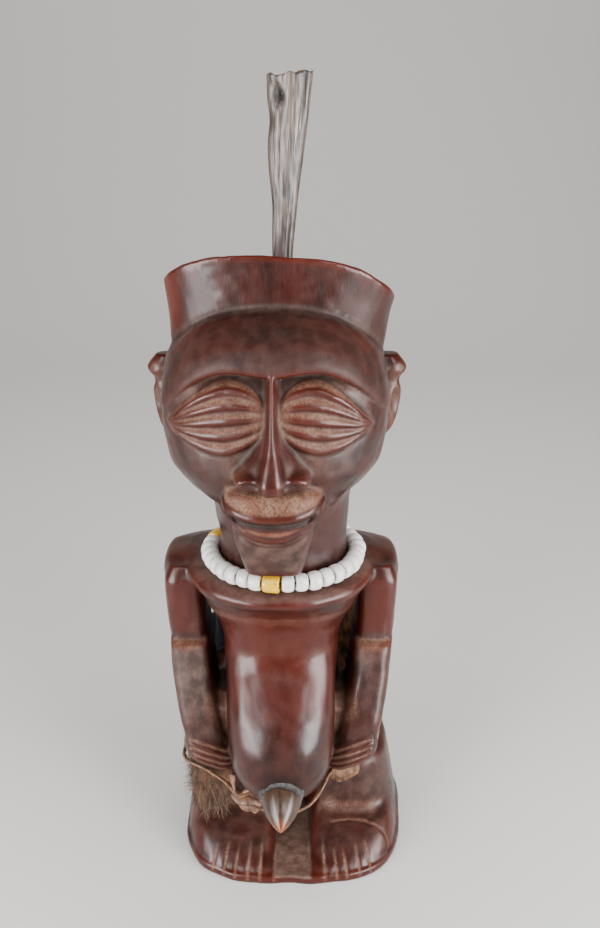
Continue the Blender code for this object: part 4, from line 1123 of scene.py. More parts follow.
def packing_material():
    # Resin and earth pressed round the horn: dead matt dark grey with crumbs.
    made, tree, shader = new_material("Packing of resin and earth, pressed by hand", {"Roughness": 0.9})
    crumb = streaks(tree, 2.2, 2.2, 5.0)
    base = blended(tree, remapped(tree, crumb, 0.35, 0.65), "262423", "4D4946")
    give(shader, "Base Color", base)
    raised(tree, shader, crumb, 0.35)
    return made


def glass_material(name, light, shadow):
    # Opaque pressed glass: clean and milky with a small wet highlight on each bead.
    made, tree, shader = new_material(
        name,
        {"Roughness": 0.22, "Subsurface Weight": 0.25, "Subsurface Radius": (0.001, 0.001, 0.001),
         "Subsurface Scale": 0.8, "Specular IOR Level": 0.5},
    )
    wear = streaks(tree, 2.4, 2.4)
    base = blended(tree, remapped(tree, wear, 0.56, 0.74), light, shadow)
    give(shader, "Base Color", base)
    return made


def thread_material():
    # Two-ply plant fibre, greyed by handling.
    made, tree, shader = new_material("Plant fibre, twisted by hand", {"Roughness": 0.9})
    fibre = streaks(tree, 0.2, 0.9, 2.0)
    base = blended(tree, fibre, "6A5A48", "9B8A72")
    give(shader, "Base Color", base)
    return made


def rawhide_material():
    # Rawhide dried hard: tan and amber, shiny where it is pulled tight.
    made, tree, shader = new_material(
        "Rawhide, cut in strips and dried",
        {"Subsurface Weight": 0.1, "Subsurface Radius": (0.002, 0.001, 0.0006), "Subsurface Scale": 0.6},
    )
    patch = streaks(tree, 3.2, 4.6, 4.0)
    line = streaks(tree, 0.5, 3.0, 2.0)
    base = blended(tree, remapped(tree, patch, 0.36, 0.64), "4A2C18", "8F6345")
    base = blended(tree, remapped(tree, line, 0.56, 0.7, 0.0, 0.5), base, "B58768")
    give(shader, "Base Color", base)
    give(shader, "Roughness", remapped(tree, patch, 0.35, 0.65, 0.7, 0.42))
    raised(tree, shader, line, 0.25)
    return made


def fur_skin_material():
    # Skin side of a small pelt: tanned brown, dull, darker in its creases.
    made, tree, shader = new_material("Pelt, dried on the skin side", {"Roughness": 0.82})
    patch = streaks(tree, 4.0, 6.0, 4.0)
    base = blended(tree, remapped(tree, patch, 0.36, 0.64), "3A2114", "8A5A3C")
    give(shader, "Base Color", base)
    raised(tree, shader, patch, 0.5)
    return made


def fur_hair_material():
    # Coarse short fur: every hair has its own tone from dark brown to straw.
    made, tree, shader = new_material("Fur, coarse and short", {"Roughness": 0.6})
    tone = add(tree, "ShaderNodeAttribute", attribute_name="tone").outputs["Fac"]
    base = blended(tree, remapped(tree, tone, 0.0, 0.6), "1E120B", "4A301D")
    base = blended(tree, remapped(tree, tone, 0.6, 1.0), base, "7E5E40")
    give(shader, "Base Color", base)
    return made


def cloth_material():
    # Indigo cotton, soft and matt with a plain weave of about twenty threads to the centimetre.
    made, tree, shader = new_material(
        "Cotton, woven plain and dyed indigo",
        {"Roughness": 0.92, "Sheen Weight": 0.25, "Sheen Roughness": 0.5},
    )
    place = add(tree, "ShaderNodeUVMap", uv_map="weave").outputs["UV"]
    thread = 0.5 * MM
    cut = add(tree, "ShaderNodeSeparateXYZ", {"Vector": place}).outputs
    ways = []
    for axis in ("X", "Y"):
        turn = add(tree, "ShaderNodeMath", {0: cut[axis], 1: math.pi / thread}, operation="MULTIPLY")
        ways.append(add(tree, "ShaderNodeMath", {0: turn.outputs[0]}, operation="SINE").outputs[0])
    weave = remapped(tree, times(tree, *ways), -1.0, 1.0)
    fade = streaks(tree, 7.0, 7.0, 4.0)
    base = blended(tree, remapped(tree, fade, 0.35, 0.65), "24242F", "3F4252")
    base = blended(tree, remapped(tree, weave, 0.2, 0.9, 0.0, 0.35), base, "5A5C6C")
    give(shader, "Base Color", base)
    raised(tree, shader, weave, 0.12, 0.7)
    return made


def floor_material():
    # Seamless paper: pale, even and matt.
    made, _, _ = new_material(
        "Paper, seamless studio backdrop", {"Base Color": linear("D9D7D3"), "Roughness": 0.9}
    )
    return made


# Shapes shared by the small pieces

def stand(name, data):
    """New object in the scene."""
    obj = bpy.data.objects.new(name, data)
    bpy.context.scene.collection.objects.link(obj)
    return obj


def build(name, points, faces, *made):
    """Closed object from points in millimetres, its faces turned outward."""
    mesh = bpy.data.meshes.new(name)
    mesh.from_pydata((np.asarray(points) * MM).tolist(), [], [tuple(face) for face in faces])
    bm = bmesh.new()
    bm.from_mesh(mesh)
    bmesh.ops.recalc_face_normals(bm, faces=bm.faces)
    bm.to_mesh(mesh)
    bm.free()
    mesh.shade_smooth()
    for one in made:
        mesh.materials.append(one)
    return stand(name, mesh)


def paint(mesh, name, values, kind="FLOAT", field="value"):
    """Store a value for every point of a mesh."""
    stored = mesh.attributes.new(name, kind, "POINT")
    stored.data.foreach_set(field, np.asarray(values, np.float32).ravel())


def coordinates(mesh):
    flat = np.empty(len(mesh.vertices) * 3, np.float32)
    mesh.vertices.foreach_get("co", flat)
    return flat.reshape(-1, 3).astype(float)


def circle(count):
    """Angles of points spread evenly round a circle."""
    return 2.0 * math.pi * np.arange(count) / count


def tube_faces(count, around, start=0):
    """Faces of a tube of rings whose last ring meets its first."""
    faces = []
    for i in range(count):
        near, far = start + i * around, start + (i + 1) % count * around
        for j in range(around):
            k = (j + 1) % around
            faces.append((near + j, near + k, far + k, far + j))
    return faces


def skinned(rows):
    """Points and faces of a closed skin over rings, each end drawn to a point."""
    rows = np.asarray(rows, float)
    count, around = rows.shape[:2]
    ends = [rows[0].mean(0), rows[-1].mean(0)]
    points = np.concatenate([rows.reshape(-1, 3), ends])
    faces = []
    for i in range(count - 1):
        for j in range(around):
            a, b = i * around + j, i * around + (j + 1) % around
            faces.append((a, b, b + around, a + around))
    last = (count - 1) * around
    for j in range(around):
        k = (j + 1) % around
        faces.append((k, j, count * around))
        faces.append((last + j, last + k, count * around + 1))
    return points, faces


def smooth_course(points, steps):
    """Points along a smooth course through chosen points."""
    points = np.array(points, float)
    before = np.concatenate([points[:1], points[:-2]])
    after = np.concatenate([points[2:], points[-1:]])
    course = []
    for a, b, c, d in zip(before, points[:-1], points[1:], after):
        for t in np.arange(steps) / steps:
            course.append(
                0.5 * (2 * b + (c - a) * t + (2 * a - 5 * b + 4 * c - d) * t**2
                       + (3 * b - a - 3 * c + d) * t**3)
            )
    return np.array(course + [points[-1]])


def rings_along(course, radii, sides, flat=1.0, twist=0.0):
    """Rings square to a course, turned along it without kinks."""
    course = np.asarray(course, float)
    ways = np.gradient(course, axis=0)
    ways /= np.linalg.norm(ways, axis=1)[:, None]
    side = np.cross(ways[0], (0.13, 0.21, 0.97))
    angles = circle(sides)
    rows = []
    for place, way, radius, share in zip(course, ways, radii, np.linspace(0.0, 1.0, len(course))):
        side = side - way * (side @ way)
        side /= np.linalg.norm(side)
        up = np.cross(way, side)
        cos, sin = math.cos(twist * share), math.sin(twist * share)
        first, second = side * cos + up * sin, up * cos - side * sin
        out = np.outer(np.cos(angles), first) + flat * np.outer(np.sin(angles), second)
        rows.append(place + radius * out)
    return np.array(rows)


def tapered(count, radius, ends=0.12, tip=0.25):
    """Radii along a cord that thins toward both ends."""
    share = np.linspace(0.0, 1.0, count)
    close = np.clip(np.minimum(share, 1.0 - share) / ends, 0.0, 1.0)
    return radius * (tip + (1.0 - tip) * np.sqrt(close * (2.0 - close)))


# Patterns that repeat, as node groups with named inputs

def node_group(name, inputs):
    """Empty node group with named inputs and one geometry output, and its input node."""
    tree = bpy.data.node_groups.new(name, "GeometryNodeTree")
    for label, kind in inputs:
        tree.interface.new_socket(label, in_out="INPUT", socket_type=kind)
    tree.interface.new_socket("Geometry", in_out="OUTPUT", socket_type="NodeSocketGeometry")
    return tree, add(tree, "NodeGroupInput").outputs


def grown(obj, tree, values):
    """Run a node group on a piece with values for its named inputs, and keep the result."""
    modifier = obj.modifiers.new(tree.name, "NODES")
    modifier.node_group = tree
    for item in tree.interface.items_tree:
        if item.in_out == "INPUT" and item.name in values:
            modifier[item.identifier] = values[item.name]
    bpy.context.view_layer.update()
    mesh = bpy.data.meshes.new_from_object(obj.evaluated_get(bpy.context.evaluated_depsgraph_get()))
    obj.modifiers.remove(modifier)
    if not mesh.polygons:
        raise RuntimeError(f"{tree.name} gave no faces for {obj.name}")
    obj.data = mesh
    mesh.shade_smooth()
    return obj


def close_group(tree, instances, material):
    """Make the instances real, give them their material and hand them out."""
    real = add(tree, "GeometryNodeRealizeInstances", {"Geometry": instances}).outputs["Geometry"]
    dyed = add(tree, "GeometryNodeSetMaterial", {"Geometry": real, "Material": material})
    add(tree, "NodeGroupOutput", {"Geometry": dyed.outputs["Geometry"]})


def stored(tree, name, kind="FLOAT_VECTOR"):
    """Values kept on the points of a mesh."""
    read = add(tree, "GeometryNodeInputNamedAttribute", {"Name": name}, data_type=kind)
    return read.outputs["Attribute"]


def chance(tree, low, high, seed):
    """A value of its own for every point, from low to high."""
    return add(tree, "FunctionNodeRandomValue", {2: low, 3: high, "Seed": seed}, data_type="FLOAT").outputs[1]


def straying(tree, base, most, seed):
    """A vector moved along every axis by chance, by no more than the most."""
    less = times(tree, most, -1.0)
    stray = add(tree, "FunctionNodeRandomValue", {"Min": less, "Max": most, "Seed": seed},
                data_type="FLOAT_VECTOR")
    total = add(tree, "ShaderNodeVectorMath", {0: base, 1: stray.outputs["Value"]})
    return total.outputs["Vector"]


def strung_beads_group():
    """A bead at every point, turned along its thread and tilted a little at random."""
    tree, given = node_group("Strung beads", (
        ("Geometry", "NodeSocketGeometry"), ("Bead", "NodeSocketObject"),
        ("Tilt", "NodeSocketFloat"), ("Seed", "NodeSocketInt"), ("Material", "NodeSocketMaterial"),
    ))
    bead = add(tree, "GeometryNodeObjectInfo", {"Object": given["Bead"]}).outputs["Geometry"]
    turn = straying(tree, stored(tree, "turn"), given["Tilt"], given["Seed"])
    held = add(tree, "FunctionNodeEulerToRotation", {"Euler": turn})
    placed = add(tree, "GeometryNodeInstanceOnPoints", {
        "Points": given["Geometry"], "Instance": bead,
        "Rotation": held.outputs["Rotation"], "Scale": stored(tree, "size"),
    })
    close_group(tree, placed.outputs["Instances"], given["Material"])
    return tree


def fur_group():
    """Hairs scattered over a skin, lying along its flow, each with its own length and tone."""
    tree, given = node_group("Fur", (
        ("Geometry", "NodeSocketGeometry"), ("Hair", "NodeSocketObject"),
        ("Hairs per square metre", "NodeSocketFloat"), ("Ruffle", "NodeSocketFloat"),
        ("Seed", "NodeSocketInt"), ("Material", "NodeSocketMaterial"),
    ))
    points = add(tree, "GeometryNodeDistributePointsOnFaces", {
        "Mesh": given["Geometry"], "Density": given["Hairs per square metre"], "Seed": given["Seed"],
    }).outputs["Points"]
    hair = add(tree, "GeometryNodeObjectInfo", {"Object": given["Hair"]}).outputs["Geometry"]
    way = straying(tree, stored(tree, "flow"), given["Ruffle"], given["Seed"])
    lie = add(tree, "FunctionNodeAlignRotationToVector", {"Vector": way}, axis="Z")
    size = times(tree, stored(tree, "length", "FLOAT"), chance(tree, 0.55, 1.2, given["Seed"]))
    placed = add(tree, "GeometryNodeInstanceOnPoints", {
        "Points": points, "Instance": hair, "Rotation": lie.outputs["Rotation"], "Scale": size,
    })
    toned = add(tree, "GeometryNodeStoreNamedAttribute", {
        "Geometry": placed.outputs["Instances"], "Name": "tone",
        "Value": chance(tree, 0.0, 1.0, given["Seed"]),
    }, data_type="FLOAT", domain="INSTANCE")
    close_group(tree, toned.outputs["Geometry"], given["Material"])
    return tree


# The pieces

def plain_places(figure, points):
    """Vertex group of the places that can do with fewer faces than the face and hands."""
    x, y, z = points.T
    face = ramp(-y, 40.0, 55.0) * ramp(z, 184.0, 200.0)
    hands = ramp(-y, 38.0, 42.0) * within(z, 62.0, 92.0, 4.0)
    toes = ramp(-y, 30.0, 40.0) * ramp(-z, -26.0, -20.0)
    plain = 1.0 - 0.8 * np.maximum(face, np.maximum(hands, toes))
    group = figure.vertex_groups.new(name="plain")
    for level in range(1, 11):
        members = np.flatnonzero(np.ceil(plain * 10.0) == level)
        group.add(members.tolist(), level / 10.0, "REPLACE")
    return group


# Unevenness left by the knife: depth, spacing, seed.
TOOL_MARKS = ((0.22, 17.0, 3), (0.10, 6.5, 4))


def carved_wood(settings):
    """Carve the volume, take its skin, thin it to the wanted size and mark wear and painted shade on it."""
    pitch = settings.pitch * 1.0
    wood = carve_billet(pitch)
    wood.soften(1)
    wood.settle()
    points, faces = wood.skin()
    figure = build("carved_figure", points, faces, wood_material())
    triangles = 2 * len(faces)
    if triangles > settings.triangles:
        thinner = figure.modifiers.new("Thin", "DECIMATE")
        thinner.ratio = settings.triangles / triangles
        thinner.vertex_group = plain_places(figure, points).name
        seen = figure.evaluated_get(bpy.context.evaluated_depsgraph_get())
        mesh = bpy.data.meshes.new_from_object(seen)
        figure.modifiers.remove(thinner)
        figure.data = mesh
        mesh.shade_smooth()
    mesh = figure.data
    places = coordinates(mesh) / MM
    facing = np.empty(len(places) * 3, np.float32)
    mesh.vertex_normals.foreach_get("vector", facing)
    facing = facing.reshape(-1, 3).astype(float)
    blurs = max(1, int(round(4.0 / pitch**2)))
    wood.soften(blurs)
    hollow = -wood.read(places)
    wood.soften(4 * blurs)
    wide_hollow = -wood.read(places)
    wear = np.stack(wood_wear_shade_and_highlight(places, facing, hollow, wide_hollow), 1)
    marks = sum(deep * waves(places, spacing, seed) for deep, spacing, seed in TOOL_MARKS)
    keep = ramp(-wear[:, 0], -0.6, -0.1) * ramp(places[:, 2], 1.0, 4.0)
    shift = settings.tool_marks * marks * keep
    mesh.vertices.foreach_set("co", ((places + facing * shift[:, None]) * MM).astype(np.float32).ravel())
    # The wear attribute holds dust, dirt and glow, with painted shade in its fourth channel.
    paint(mesh, "wear", wear, "FLOAT_COLOR", "color")
    mesh.update()
    return figure


# Head horn: height, middle, half width.
HEAD_HORN = (
    (290.5, -4.2, 3.9),
    (321.0, -4.0, 4.7),
    (341.0, -3.0, 5.5),
    (360.0, -2.6, 7.4),
    (380.0, -1.5, 8.9),
    (399.0, -0.4, 9.9),
)
HEAD_HORN_Y = -4.0
HEAD_HORN_FLATNESS = 0.8
# Splits along the horn: angle in degrees at its foot and top, depth share, width.
HORN_SPLITS = (
    (-70.0, -40.0, 0.20, 0.12),
    (-92.0, -78.0, 0.05, 0.10),
    (-118.0, -104.0, 0.07, 0.13),
    (-145.0, -134.0, 0.05, 0.10),
    (-168.0, -172.0, 0.07, 0.20),
    (95.0, 80.0, 0.16, 0.20),
    (140.0, 150.0, 0.10, 0.16),
    (30.0, 20.0, 0.12, 0.15),
)
# Rings inside the broken end: size and drop.
HORN_BREAK = ((0.93, 0.2), (0.8, 1.0), (0.66, 3.4), (0.5, 7.0), (0.25, 9.0))


def head_horn():
    """Horn standing in the crown, split along its fibres and broken off at its wide end."""
    around, levels = 120, 150
    angle = circle(around)
    share = np.linspace(0.0, 1.0, levels)
    low, high = HEAD_HORN[0][0], HEAD_HORN[-1][0]
    height = (low + (high - low) * share)[:, None] + 0.0 * angle
    middle, half = (column[:, None] for column in read_table(HEAD_HORN, height[:, 0]))
    grown_up = ramp(share, 0.05, 0.35)[:, None]
    form = 1.0 + 0.04 * np.cos(2.0 * angle + 0.9) * grown_up
    # Painted shade along the splits.
    split_shade = np.zeros((levels, around))
    for foot, top, deep, wide in HORN_SPLITS:
        line = np.radians(lerp(foot, top, share))[:, None]
        off = (angle - line + math.pi) % (2.0 * math.pi) - math.pi
        cut = hump(off, 0.0, wide) * (0.6 + 0.4 * np.sin(9.0 * share + foot)[:, None]) * grown_up
        form = form - deep * cut
        split_shade = np.maximum(split_shade, cut * deep * 3.0)
    pit_angle = (angle - math.radians(-128.0) + math.pi) % (2.0 * math.pi) - math.pi
    pit = hump(pit_angle, 0.0, 0.36) * hump(height, 390.0 - 3.0 * pit_angle, 3.6)
    form = form - 0.5 * pit
    notch = hump((angle + math.radians(170.0) + math.pi) % (2.0 * math.pi) - math.pi, 0.0, 0.5)
    form = form - 0.22 * notch * hump(height, 379.0, 6.0)
    spots = np.stack([
        np.cos(angle) * 30.0 + 0.0 * height, np.sin(angle) * 30.0 + 0.0 * height, height / 7.0,
    ], -1).reshape(-1, 3)
    fibres = waves(spots, 2.6, 21, 14).reshape(levels, around)
    form = form + 0.014 * fibres * grown_up
    ragged = ramp(share, 0.955, 1.0)[:, None]
    spots[:, 2] = 0.0
    torn = waves(spots, 16.0, 5).reshape(levels, around)
    height = height + ragged * (0.9 * torn + 0.6 * np.cos(angle + 0.4))
    x = middle + half * form * np.cos(angle)
    y = HEAD_HORN_Y + half * HEAD_HORN_FLATNESS * form * np.sin(angle)
    rows = list(np.stack([x, y, height], -1))
    # Tone: painted shade in the splits, in the pit and along the side on the figure's left; lighter on one
    # side of the broken top.
    tones = list(0.5 - 0.5 * np.clip(split_shade + 0.9 * pit + 0.25 * ramp(np.cos(angle), 0.5, 0.9), 0.0, 1.0)
                 + 0.45 * ragged * ramp(np.sin(angle + 0.7), -0.2, 0.8))
    top = rows[-1]
    centre = top.mean(0)
    for inner, drop in HORN_BREAK:
        ring = centre + (top - centre) * inner
        ring[:, 2] += 0.4 * np.sin(angle * 7.0 + 9.0 * inner) - drop
        rows.append(ring)
        # The deeper rings of the broken end are dark: painted shade in its hollow.
        tones.append(np.full(around, 0.75 if inner > 0.75 else 0.1))
    points, faces = skinned(rows)
    horn = build("weathered_head_horn", points, faces, head_horn_material())
    paint(horn.data, "tone", np.concatenate([np.concatenate(tones), (0.4, 0.1)]))
    return horn


NAVEL_POINT = (0.5, -73.0, 73.5)
NAVEL_DROOP = math.radians(17.0)
NAVEL_HORN_WIDTH = 19.6
NAVEL_HORN_LENGTH = 18.2
PACKING_RADIUS = 10.6
PACKING_DEPTH = 7.0
PACKING_PROUD = 4.0


def at_navel(rows):
    """Carry rings from the horn point's own axis to its place on the belly."""
    turn = np.array(Matrix.Rotation(math.pi / 2.0 + NAVEL_DROOP, 3, "X"))
    return np.asarray(rows) @ turn.T + (np.array(NAVEL_POINT) + (TRUNK_SHIFT, 0.0, 0.0))


def navel_horn():
    """Polished horn point that closes the packing of the belly."""
    around, levels = 64, 48
    angle = circle(around)
    rows, tones = [], []
    for share in 1.0 - np.cos(np.linspace(0.0, math.pi / 2.0, levels)):
        radius = NAVEL_HORN_WIDTH / 2.0 * (1.0 - share**1.45) ** 0.8
        radius = max(radius * (0.90 + 0.10 * ramp(share, 0.0, 0.07)), 0.35)
        radius = radius * (1.0 + 0.018 * np.cos(3.0 * angle + 0.6) + 0.012 * np.cos(7.0 * angle))
        along = PACKING_PROUD + 0.35 + NAVEL_HORN_LENGTH * share + 0.5 * np.sin(2.0 * angle) * (1.0 - share)
        rows.append(np.stack([radius * np.cos(angle), radius * np.sin(angle), along], -1))
        tones.append(np.full(around, share))
    points, faces = skinned(rows)
    horn = build("polished_navel_horn", at_navel(points), faces, navel_horn_material())
    paint(horn.data, "tone", np.concatenate([*tones, (0.0, 1.0)]))
    return horn


def navel_packing():
    """Lumpy packing pressed round the foot of the horn point."""
    around = 72
    angle = circle(around)
    rows = []
    profile = (
        (-PACKING_DEPTH, 0.90), (-3.0, 0.98), (0.0, 1.0), (1.2, 0.99), (2.1, 0.95),
        (2.9, 0.88), (3.5, 0.76), (3.9, 0.6), (PACKING_PROUD, 0.5), (PACKING_PROUD, 0.3),
    )
    for along, share in smooth_course(profile, 4):
        radius = PACKING_RADIUS * share + 0.0 * angle
        rows.append(np.stack([radius * np.cos(angle), radius * np.sin(angle), along + 0.0 * angle], -1))
    points, faces = skinned(rows)
    out = points / np.maximum(np.linalg.norm(points[:, :2], axis=1), 2.0)[:, None] * (1.0, 1.0, 0.0)
    proud = ramp(points[:, 2], -1.0, 0.8)
    lumps = 0.8 * waves(points, 8.0, 8) + 0.25 * waves(points, 3.0, 9)
    points = points + out * (lumps * proud)[:, None]
    return build("navel_packing_mass", at_navel(points), faces, packing_material())


BEAD_RADIUS = 4.4
BEAD_BORE = 1.35
WHITE_LENGTH = 5.9
YELLOW_LENGTH = 8.3


def bead_shape(name, length, fullness):
    """One pressed bead: a ring whose section is a rounded square."""
    around, section = 28, 18
    turn = circle(around)
    middle, thick = (BEAD_RADIUS + BEAD_BORE) / 2.0, (BEAD_RADIUS - BEAD_BORE) / 2.0
    points = []
    for t in circle(section):
        along = length / 2.0 * math.copysign(abs(math.cos(t)) ** fullness, math.cos(t))
        radius = middle + thick * math.copysign(abs(math.sin(t)) ** fullness, math.sin(t))
        points.append(np.stack([along + 0.0 * turn, radius * np.cos(turn), radius * np.sin(turn)], -1))
    return build(name, np.concatenate(points), tube_faces(section, around))


def bead_nodes(colour):
    return sorted(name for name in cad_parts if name.startswith(f"bead_{colour}_"))


def strung_beads(settings):
    """White and yellow beads where the part has them, each turned along the thread."""
    tree = strung_beads_group()
    kinds = (
        ("white", WHITE_LENGTH, 0.78, "EDEAE6", "CFC6BA"),
        ("yellow", YELLOW_LENGTH, 0.42, "E3B21C", "B07A12"),
    )
    made = []
    for colour, length, fullness, light, shadow in kinds:
        glass = glass_material(f"Glass, opaque {colour}, pressed", light, shadow)
        names = bead_nodes(colour)
        turn = np.random.default_rng(settings.seed + len(names))
        places, turns, sizes = [], [], []
        for name in names:
            low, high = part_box(name)
            place = (low + high) / 2.0
            angle = math.atan2(place.y - NECK_CENTRE[1] * MM, place.x - NECK_CENTRE[0] * MM)
            out = Vector((math.cos(angle), math.sin(angle), 0.0))
            places.append(place + out * turn.uniform(-0.25, 0.3) * MM)
            turns.append((turn.uniform(0.0, 6.0), 0.0, angle + math.pi / 2.0))
            wide = turn.uniform(0.95, 1.05)
            sizes.append((turn.uniform(0.93, 1.04), wide, wide))
        mesh = bpy.data.meshes.new(f"{colour}_glass_beads")
        mesh.from_pydata(places, [], [])
        for name, values in (("turn", turns), ("size", sizes)):
            paint(mesh, name, values, "FLOAT_VECTOR", "vector")
        beads = stand(mesh.name, mesh)
        bead = bead_shape(f"one_{colour}_bead", length, fullness)
        values = {"Bead": bead, "Tilt": settings.tilt, "Seed": settings.seed, "Material": glass}
        grown(beads, tree, values)
        bpy.data.objects.remove(bead)
        made.append((beads, names, f"{colour}_glass"))
    return made


# The thread of the solids and the two plies that stand for it.
CAD_THREAD_RADIUS = 0.6
PLY_OFFSET = 0.27
PLY_RADIUS = 0.3


def necklace_thread():
    """Two plies wound round each other through the beads."""
    low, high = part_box("necklace_thread")
    radius = (high.x - low.x) / 2.0 / MM - CAD_THREAD_RADIUS
    level = (low.z + high.z) / 2.0 / MM
    around, sides, windings = 360, 6, 60
    points, faces = [], []
    for ply in range(2):
        rows = []
        for i in range(around):
            way = 2.0 * math.pi * i / around
            wind = windings * way + math.pi * ply
            out = np.array((math.cos(way), math.sin(way), 0.0))
            up = np.array((0.0, 0.0, 1.0))
            core = out * (radius + PLY_OFFSET * math.cos(wind)) + up * PLY_OFFSET * math.sin(wind)
            core = core + (NECK_CENTRE[0], NECK_CENTRE[1], level)
            rows.append([
                core + PLY_RADIUS * (out * math.cos(a) + up * math.sin(a))
                for a in circle(sides)
            ])
        start = len(points) * around * sides
        points.append(np.concatenate(rows))
        faces += tube_faces(around, sides, start)
    return build("twisted_thread", np.concatenate(points), faces, thread_material())


# Hide route round the hips: x and y on the trunk's own axis, lowest and highest point.
HIDE_ROUTE = (
    (-27.0, -25.0, 30.0, 57.0),
    (-38.0, -26.5, 25.0, 59.0),
    (-47.5, -20.0, 27.0, 60.0),
    (-48.5, -3.0, 40.0, 66.0),
    (-48.5, 17.0, 55.0, 82.0),
    (-41.0, 38.0, 64.0, 97.0),
    (-24.0, 53.0, 67.0, 105.0),
    (0.0, 58.0, 66.0, 108.0),
    (24.0, 53.0, 64.0, 111.0),
    (42.0, 40.0, 66.0, 112.0),
    (51.0, 23.0, 67.0, 104.0),
    (50.5, 8.0, 66.0, 90.0),
    (48.5, -4.0, 66.0, 80.0),
)
HIDE_CAD_THICKNESS = 5.0
SKIN_THICKNESS = 1.6
SKIN_INNER = -1.4


def route_outward(course):
    """Outward direction in plan along a course round the hips."""
    along = np.gradient(course[:, :2], axis=0)
    along /= np.linalg.norm(along, axis=1)[:, None]
    return np.stack([-along[:, 1], along[:, 0]], 1)


def band_surface(course, outward, ups, offset, seed):
    """Rows of points up a band, bent in and out by its folds; offset is outward."""
    rows = []
    for (x, y, low, high), out in zip(course, outward):
        spots = np.stack([np.full(len(ups), x), np.full(len(ups), y), lerp(low, high, ups)], 1)
        fold = 0.8 * waves(spots, 16.0, seed)
        away = offset + fold
        rows.append(np.stack([x + TRUNK_SHIFT + out[0] * away, y + out[1] * away, spots[:, 2]], 1))
    return np.array(rows)


def ragged_course(route, steps, seed):
    """Course of a cut hide, its two edges uneven."""
    course = smooth_course(route, steps)
    spots = course * (1.0, 1.0, 0.0, 0.0)
    course[:, 2] += 1.6 * waves(spots[:, :3], 9.0, seed)
    course[:, 3] += 1.2 * waves(spots[:, :3], 11.0, seed + 1)
    return course


def hide_skin():
    """Skin of the hide, worn on the inside, with its upper edge rolled on one side."""
    course = ragged_course(HIDE_ROUTE, 9, 31)
    outward = route_outward(course)
    ups = np.linspace(0.0, 1.0, 22)
    inner = band_surface(course, outward, ups, SKIN_INNER, 33)
    outer = band_surface(course, outward, ups, SKIN_INNER + SKIN_THICKNESS, 33)
    rows = np.concatenate([inner, outer[:, ::-1]], 1)
    points, faces = skinned(rows)
    rolled = course[course[:, 0] > 6.0]
    rolled_out = outward[course[:, 0] > 6.0]
    roll = np.stack([
        rolled[:, 0] + TRUNK_SHIFT + rolled_out[:, 0] * 0.6,
        rolled[:, 1] + rolled_out[:, 1] * 0.6,
        rolled[:, 3] - 1.0,
    ], 1)
    radii = tapered(len(roll), 3.3, 0.1, 0.4) * (1.0 + 0.12 * np.sin(np.arange(len(roll)) * 0.9))
    more, more_faces = skinned(rings_along(roll, radii, 20, 0.62, 14.0))
    faces = faces + [tuple(k + len(points) for k in face) for face in more_faces]
    skin = build("hip_hide_skin", np.concatenate([points, more]), faces, fur_skin_material())
    return skin, course, outward


def one_hair():
    """Unit hair: a bent spike."""
    rows = []
    for share in (0.0, 0.35, 0.7, 1.0):
        radius = 0.019 * (1.0 - 0.85 * share)
        bend = 0.24 * share * share
        rows.append([
            (bend + radius * math.cos(a), radius * math.sin(a), share)
            for a in (0.0, 2.1, 4.2)
        ])
    points, faces = skinned(rows)
    return build("one_hair", points / MM, faces)


def hide_fur(settings, course, outward):
    """Fur over the outside and the edges of the hide, longest where it hangs in a tuft."""
    ups = np.linspace(-0.02, 1.02, 16)
    surface = band_surface(course, outward, ups, 0.4, 33)
    levels, count = surface.shape[:2]
    faces = []
    for i in range(levels - 1):
        for j in range(count - 1):
            a = i * count + j
            faces.append((a, a + count, a + count + 1, a + 1))
    mesh = bpy.data.meshes.new("hip_hide_fur")
    mesh.from_pydata((surface.reshape(-1, 3) * MM).tolist(), [], faces)
    out = np.repeat(np.concatenate([outward, np.zeros((levels, 1))], 1), count, 0)
    along = np.repeat(np.stack([outward[:, 1], -outward[:, 0], np.zeros(levels)], 1), count, 0)
    spots = surface.reshape(-1, 3)
    swirl = waves(spots, 14.0, 41)[:, None]
    flow = out * 0.42 + along * 0.35 * swirl + (0.0, 0.0, -0.9)
    tuft = ramp(-spots[:, 0], 10.0, 40.0) * ramp(-spots[:, 1], -6.0, 12.0)
    length = (settings.length + 1.5 * MM * tuft) * (1.0 + 0.2 * waves(spots, 10.0, 42))
    paint(mesh, "flow", flow, "FLOAT_VECTOR", "vector")
    paint(mesh, "length", length)
    fur = stand("hip_hide_fur", mesh)
    hair = one_hair()
    values = {
        "Hair": hair, "Hairs per square metre": settings.density * 1.0,
        "Ruffle": settings.ruffle, "Seed": settings.seed, "Material": fur_hair_material(),
    }
    grown(fur, fur_group(), values)
    bpy.data.objects.remove(hair)
    return fur


# Short flap of hide in front of the figure's left hip.
FLAP_ROUTE = (
    (25.0, -26.5, 46.0, 57.0),
    (29.0, -26.4, 43.5, 58.5),
    (33.0, -26.0, 44.0, 60.0),
    (37.0, -25.2, 45.5, 60.5),
    (41.0, -24.0, 46.0, 61.0),
)


def hide_flap():
    """Stiff offcut of rawhide with a curled lower edge."""
    course = ragged_course(FLAP_ROUTE, 8, 51)
    outward = route_outward(course)
    ups = np.linspace(0.0, 1.0, 20)
    inner = band_surface(course, outward, ups, -1.1, 53)
    outer = band_surface(course, outward, ups, 0.3, 53)
    curl = 1.6 * ramp(-ups, -0.3, 0.0)
    for surface in (inner, outer):
        surface[:, :, :2] += outward[:, None, :] * curl[None, :, None]
    points, faces = skinned(np.concatenate([inner, outer[:, ::-1]], 1))
    return build("rawhide_flap", points, faces, rawhide_material())


